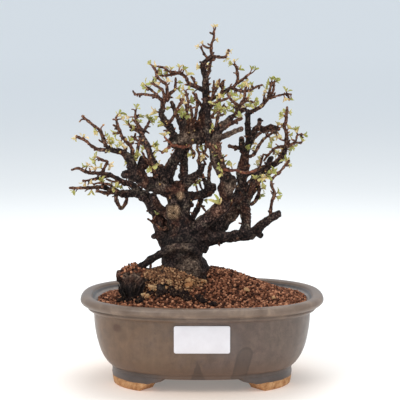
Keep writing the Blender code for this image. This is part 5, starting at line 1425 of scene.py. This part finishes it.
def red_shoot_material():
    """The bright, rusty skin of the youngest shoots."""
    paint = Paint("red shoot", 0.55, 0.3)
    skin = paint.ramp(paint.noise(1.8, 5), [(0.34, 62, 31, 25), (0.5, 116, 64, 46), (0.68, 180, 114, 82)])
    # Painted shade in the skin's dips and painted highlights on its lumps, from the relief.
    colour = paint.shaded(skin, paint.ramp(paint.tint()[1], [(0.15, 0.5), (0.6, 1.05), (0.9, 1.3)]))
    return paint.finish(colour, None, paint.noise(0.8, 4), 0.25, 0.6)


def leaf_material():
    """Young leaves, yellow green, paler along the veins, pinkish at foot and rim."""
    paint = Paint("leaf", 0.5, 0.4)
    along, across, shade, _ = paint.tint()
    body = paint.ramp(shade, [(0.0, 138, 144, 58), (0.35, 170, 172, 82), (0.7, 204, 194, 116), (1.0, 238, 208, 158)])
    slant = paint.less(along, paint.times(across, 0.16))
    veins = paint.times(paint.between(paint.maths("SINE", paint.times(slant, 52)), 0.55, 1.0), 0.4)
    pale = paint.maths("MAXIMUM", veins, paint.times(paint.between(across, 0.22, 0.02), 0.6))
    colour = paint.over(body, (232, 226, 168), pale)
    colour = paint.over(colour, (196, 122, 88), paint.between(along, 0.42, 0.04), 0.8)
    tips = paint.times(paint.between(along, 0.78, 1.0), paint.between(shade, 0.45, 0.9))
    edge = paint.maths("MAXIMUM", paint.times(paint.between(across, 0.72, 1.0), 0.3), paint.times(tips, 0.65))
    return paint.finish(paint.over(colour, (238, 200, 156), edge), None, pale, 0.08, 0.5)


def bud_material():
    paint = Paint("bud", 0.5, 0.4)
    along, scale, shade, _ = paint.tint()
    base = paint.ramp(shade, [(0.0, 112, 52, 40), (0.5, 150, 78, 54), (0.8, 196, 140, 96), (1.0, 170, 60, 50)])
    tip = paint.over(base, (190, 172, 104), paint.between(along, 0.5, 0.95))
    colour = paint.over(tip, (66, 34, 26), paint.between(scale, 0.4, 0.0), 0.5)
    return paint.finish(colour, None, paint.noise(0.5, 3), 0.1, 0.4)


def granule_material(name, stops):
    """Porous baked clay: each granule has its own shade, with small pores."""
    paint = Paint(name, 0.95, 0.25)
    grain = paint.noise(0.7, 5)
    mottled = paint.shaded(paint.ramp(paint.tint()[0], stops),
                           paint.ramp(grain, [(0.3, 0.55), (0.5, 0.95), (0.7, 1.3)]))
    return paint.finish(mottled, None, grain, 0.25, 0.7)


def bed_material():
    paint = Paint("soil bed", 1.0, 0.1)
    # Painted shade: the bed is darker than the granules, for the shadows in the gaps between them.
    colour = paint.ramp(paint.noise(1.2, 5), [(0.3, 46, 27, 20), (0.7, 94, 58, 43)])
    return paint.finish(colour, None, paint.noise(0.8, 5), 0.5, 0.8)


def moss_material():
    paint = Paint("moss", 1.0, 0.15)
    shade, _, fibre, _ = paint.tint()
    crumbs = paint.ramp(shade, [(0.0, 20, 14, 14), (0.6, 38, 27, 25), (0.85, 62, 46, 38), (1.0, 112, 86, 64)])
    return paint.finish(paint.over(crumbs, (60, 42, 36), fibre, 0.5), None, paint.noise(0.5, 4), 0.2, 0.6)


def glaze_material():
    """Satin glaze, brown at the left and purple grey at the right, with runs and
    stains, over buff clay that shows at the feet."""
    paint = Paint("glaze", 0.4, 0.5)
    x, y, z = paint.axes()
    clouds = paint.noise(16, 4, distortion=0.4)
    streaks = paint.noise(5, 4, stretch=(1, 1, 0.16))
    fine = paint.noise(0.9, 4)
    across = paint.plus(paint.times(x, 0.0065), paint.times(clouds, 0.9))
    colour = paint.ramp(across, [(0.0, 118, 91, 68), (0.34, 111, 89, 72), (0.55, 104, 85, 76), (0.95, 111, 94, 83)])
    colour = paint.shaded(colour, paint.ramp(streaks, [(0.3, 0.88), (0.5, 1.0), (0.7, 1.12)]))
    mottle = paint.ramp(paint.noise(7, 5, distortion=0.6), [(0.34, 0.84), (0.5, 1.0), (0.66, 1.14)])
    colour = paint.shaded(colour, mottle)
    # Painted shade low on the wall, from 26 mm down to 8 mm, where it turns under towards the feet.
    colour = paint.over(colour, (112, 89, 74), paint.between(z, 26, 8), 0.8)
    grit = paint.ramp(fine, [(0.35, 78, 68, 60), (0.65, 150, 138, 124)])
    colour = paint.over(colour, grit, 0.35, blend="SOFT_LIGHT")
    rim_glaze = paint.ramp(clouds, [(0.3, 98, 78, 63), (0.55, 118, 98, 83), (0.75, 146, 124, 106)])
    colour = paint.over(colour, rim_glaze, paint.between(z, *RIM_FOOT))
    oval = paint.plus(*(paint.power(paint.size(paint.maths("DIVIDE", axis, half)), OVAL_POWER)
                        for axis, half in zip((x, y), INSIDE_OVAL)))
    inside = paint.times(paint.between(oval, 1.0, 0.985), paint.between(z, *INSIDE_FOOT))
    # The inside's pale lilac grey: partly the glaze's colour, partly a painted reflection.
    colour = paint.over(colour, paint.ramp(streaks, [(0.3, 126, 116, 108), (0.7, 166, 155, 148)]), inside)
    # A painted shadow under the lip: a dark line round the top of the inside.
    line = paint.times(inside, paint.between(oval, 0.93, 0.965))
    colour = paint.over(colour, (44, 38, 40), line, 0.75)
    front = paint.between(y, -20, -40)
    for mask, stain in glaze_stains(paint, x, z):
        colour = paint.over(colour, stain, paint.times(mask, front))
    band = paint.ramp(clouds, [(0.3, 66, 55, 50), (0.7, 92, 79, 73)])
    by_feet = paint.plus(paint.times(paint.between(paint.size(x), 24, 40), 0.9), 0.1)
    colour = paint.over(colour, band, paint.times(paint.between(z, *BAND_TOP), by_feet))
    clay = paint.ramp(paint.noise(3.5, 5), [(0.3, 158, 108, 66), (0.5, 190, 140, 94), (0.75, 216, 174, 128)])
    crack = paint.size(paint.less(paint.noise(6, 4, distortion=1.0), 0.5))
    clay = paint.over(clay, (92, 58, 36), paint.between(crack, 0.012, 0.0), 0.7)
    wavy = paint.plus(z, paint.times(paint.less(paint.noise(7, 2), 0.5), 1.8))
    bare = paint.between(wavy, GLAZE_EDGE + 0.25, GLAZE_EDGE - 0.15)
    roughness = paint.over(paint.ramp(clouds, [(0.3, 0.3), (0.7, 0.44)]), (0.9, 0.9, 0.9, 1), bare)
    height = paint.plus(paint.times(streaks, 0.6), paint.times(fine, 0.25))
    return paint.finish(paint.over(colour, clay, bare), roughness, height, 0.25, 0.35)


def glaze_stains(paint, x, z):
    """Masks and colours of the stains on the pot's front."""
    ripple = paint.times(paint.less(paint.noise(4, 3), 0.5), 3.0)
    # A dark wedge by the foot of the wall, its point upwards.
    lean = paint.size(paint.plus(paint.plus(x, 3.4), ripple))
    reach = paint.times(paint.less(26.5, z), 0.34)
    stains = [(paint.times(paint.between(paint.less(reach, lean), 0.0, 1.2), 0.8), (74, 58, 49))]
    # A leaning run with a round top, right of it.
    lean = paint.less(x, paint.plus(26.0, paint.times(z, 0.24)))
    lean = paint.plus(lean, paint.times(ripple, 0.5))
    above = paint.times(paint.maths("MAXIMUM", paint.less(z, 29.0), 0.0), 0.95)
    away = paint.maths("SQRT", paint.plus(paint.power(lean, 2.0), paint.power(above, 2.0)))
    core = paint.between(away, 5.4, 3.2)
    run = paint.less(paint.between(away, 6.6, 5.4), paint.times(core, 0.4))
    stains.append((paint.times(run, 0.8), (72, 58, 50)))
    # Rusty and dark specks, and wide, faint clouds: x, height, size, colour, amount.
    for spot_x, spot_z, size, colour, amount in ((-66, 47.5, 4.4, (78, 46, 26), 0.8),
                                                 (-62, 43, 6.5, (92, 68, 48), 0.5),
                                                 (-40, 21, 16.0, (122, 95, 70), 0.25),
                                                 (18, 38, 17.0, (102, 90, 86), 0.4),
                                                 (22, 46, 3.0, (82, 72, 68), 0.35)):
        aside, over = paint.power(paint.plus(x, -spot_x), 2.0), paint.power(paint.plus(z, -spot_z), 2.0)
        away = paint.plus(paint.maths("SQRT", paint.plus(aside, over)), ripple)
        stains.append((paint.times(paint.between(away, size, size * 0.4), amount), colour))
    return stains


def card_material():
    """Blank white laminated paper, with a faint sheen."""
    paint = Paint("card", 0.35, 0.5)
    colour = paint.ramp(paint.noise(11, 4), [(0.3, 224, 219, 222), (0.7, 232, 228, 231)])
    return paint.finish(colour, paint.ramp(paint.noise(5, 3), [(0.3, 0.3), (0.7, 0.42)]), paint.noise(0.35, 3), 0.04,
                        0.3)


def plastic_material():
    paint = Paint("drain screen plastic", 0.5, 0.5)
    colour = paint.ramp(paint.noise(2.5, 4), [(0.35, 22, 22, 24), (0.7, 50, 48, 46)])
    return paint.finish(colour, paint.ramp(paint.noise(1.5, 3), [(0.3, 0.42), (0.7, 0.7)]), paint.noise(0.6, 4), 0.1,
                        0.4)


# Stage


def aim_at(obj, place, target):
    obj.location = place
    obj.rotation_euler = (Vector(target) - Vector(place)).to_track_quat("-Z", "Y").to_euler()


def make_stage():
    """A pale floor that turns from white to a cool grey far off, with a painted warm shadow under the pot and a
    painted glow round it, and soft light.
    """
    bm = bmesh.new()
    bmesh.ops.create_circle(bm, cap_ends=True, segments=96, radius=FLOOR_RADIUS)
    mesh = bpy.data.meshes.new("floor")
    bm.to_mesh(mesh)
    bm.free()
    floor = new_object("floor", mesh)
    paint = Paint("floor", 0.9, 0.1)
    away = paint.add("VectorMath", {0: paint.add("TexCoord").outputs["Object"]}, operation="LENGTH").outputs["Value"]
    # Painted warm shadow on the floor under the pot, fading out by 0.14 m.
    shade = paint.ramp(paint.times(away, 0.1), [(0.004, 236, 208, 186), (0.014, 240, 238, 235), (0.3, 246, 246, 246),
                                                (0.6, 250, 250, 250)])
    # A painted glow on the floor near the pot, fading out by 1.3 m, that lightens the shadows.
    paint.put(paint.shader.inputs["Emission Color"], srgb(252, 250, 246))
    paint.put(paint.shader.inputs["Emission Strength"], paint.times(paint.between(away, 1.3, 0.4), 0.22))
    mesh.materials.append(paint.finish(shade))

    world = bpy.data.worlds.new("studio")
    bpy.context.scene.world = world
    world.use_nodes = True
    background = world.node_tree.nodes["Background"]
    background.inputs["Color"].default_value = srgb(216, 225, 233)
    background.inputs["Strength"].default_value = 1.0
    for name, place, size, power in (("key", (-0.75, -0.95, 1.35), 0.8, 9.0), ("fill", (1.0, -0.8, 0.8), 0.9, 2.5),
                                     ("top", (0.1, 0.35, 1.5), 0.8, 8.0)):
        lamp = bpy.data.lights.new(name, "AREA")
        lamp.size = size
        lamp.energy = power
        lamp.color = (1.0, 0.985, 0.96)
        aim_at(new_object(name, lamp), place, (0, 0, 0.1))


def make_camera():
    camera = bpy.data.cameras.new("camera")
    camera.angle = math.radians(FIELD_OF_VIEW)
    obj = new_object("camera", camera)
    aim_at(obj, POT_MIDDLE + Vector((0, -CAMERA_DISTANCE, EYE_HEIGHT)) * MM,
           POT_MIDDLE + Vector((AIM[0], 0, AIM[1])) * MM)
    bpy.context.scene.camera = obj


def make_tree():
    bark = bark_material()
    routes = make_routes()
    fused = [name for name in routes if name in ("trunk", "stump") or name in ROOTS
             or float(ALL_LIMBS[name][0][1]) >= FUSED_WOOD_RADIUS]
    fused.remove("rootlet")
    red = [name for name in routes if name.startswith("red")]
    thin = [name for name in routes if name not in fused + red]
    limbs = list(ALL_LIMBS)
    draw = random.Random(SEED)
    trunk = ride(fused_wood(routes, fused, bark), "bark", "tree")
    ride(twigs(routes, thin, bark, "tree_twigs"), "bark", "tree")
    ride(twigs(routes, red, red_shoot_material(), "tree_red_shoots"), "bark", "tree")
    plans = plan_tufts(routes, limbs, draw)
    stems = [(root, end, draw.uniform(0.45, 0.65)) for root, end, _, _, _ in plans]
    spurs, ends = spurs_and_stems(routes, limbs, stems, bark, draw)
    ride(spurs, "bark", "tree")
    ride(make_leaves(plans, routes, leaf_material(), draw), None, "tree")
    ride(make_buds(routes, limbs, ends, bud_material(), draw), None, "tree")
    ride(make_fine_roots(bark, draw), "bark", "tree")
    return routes, trunk


def make_soil(routes, trunk):
    draw = random.Random(SEED + 5)
    red = granule_material("red granules", [(0.0, 44, 25, 18), (0.3, 100, 59, 41), (0.7, 146, 92, 65),
                                            (1.0, 208, 146, 110)])
    ochre = granule_material("ochre soil", [(0.0, 58, 38, 29), (0.35, 122, 84, 60), (0.75, 166, 119, 84),
                                            (1.0, 212, 168, 124)])
    tan = granule_material("pebble", [(0.0, 162, 104, 64), (0.5, 182, 132, 88), (1.0, 200, 164, 122)])
    ride(make_soil_bed(bed_material()), "soil", "soil")
    for piece in make_granules(routes, trunk, red, ochre, draw):
        ride(piece, "soil", "soil")
    ride(make_pebbles(tan, draw), "soil", "soil")
    ride(make_moss(moss_material(), draw), "soil", "soil")
    ride(make_stump_crumbs(routes, red, draw), "soil", "soil")


def main():
    bpy.context.scene.view_settings.view_transform = "Standard"
    make_camera()
    make_stage()
    ride(make_pot(glaze_material()), "glaze", "pot")
    ride(make_label(card_material()), "card", "label")
    plastic = plastic_material()
    for name in ("drain_screen_left", "drain_screen_right"):
        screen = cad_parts[name]
        screen.data.materials.clear()
        screen.data.materials.append(plastic)
    make_soil(*make_tree())


main()
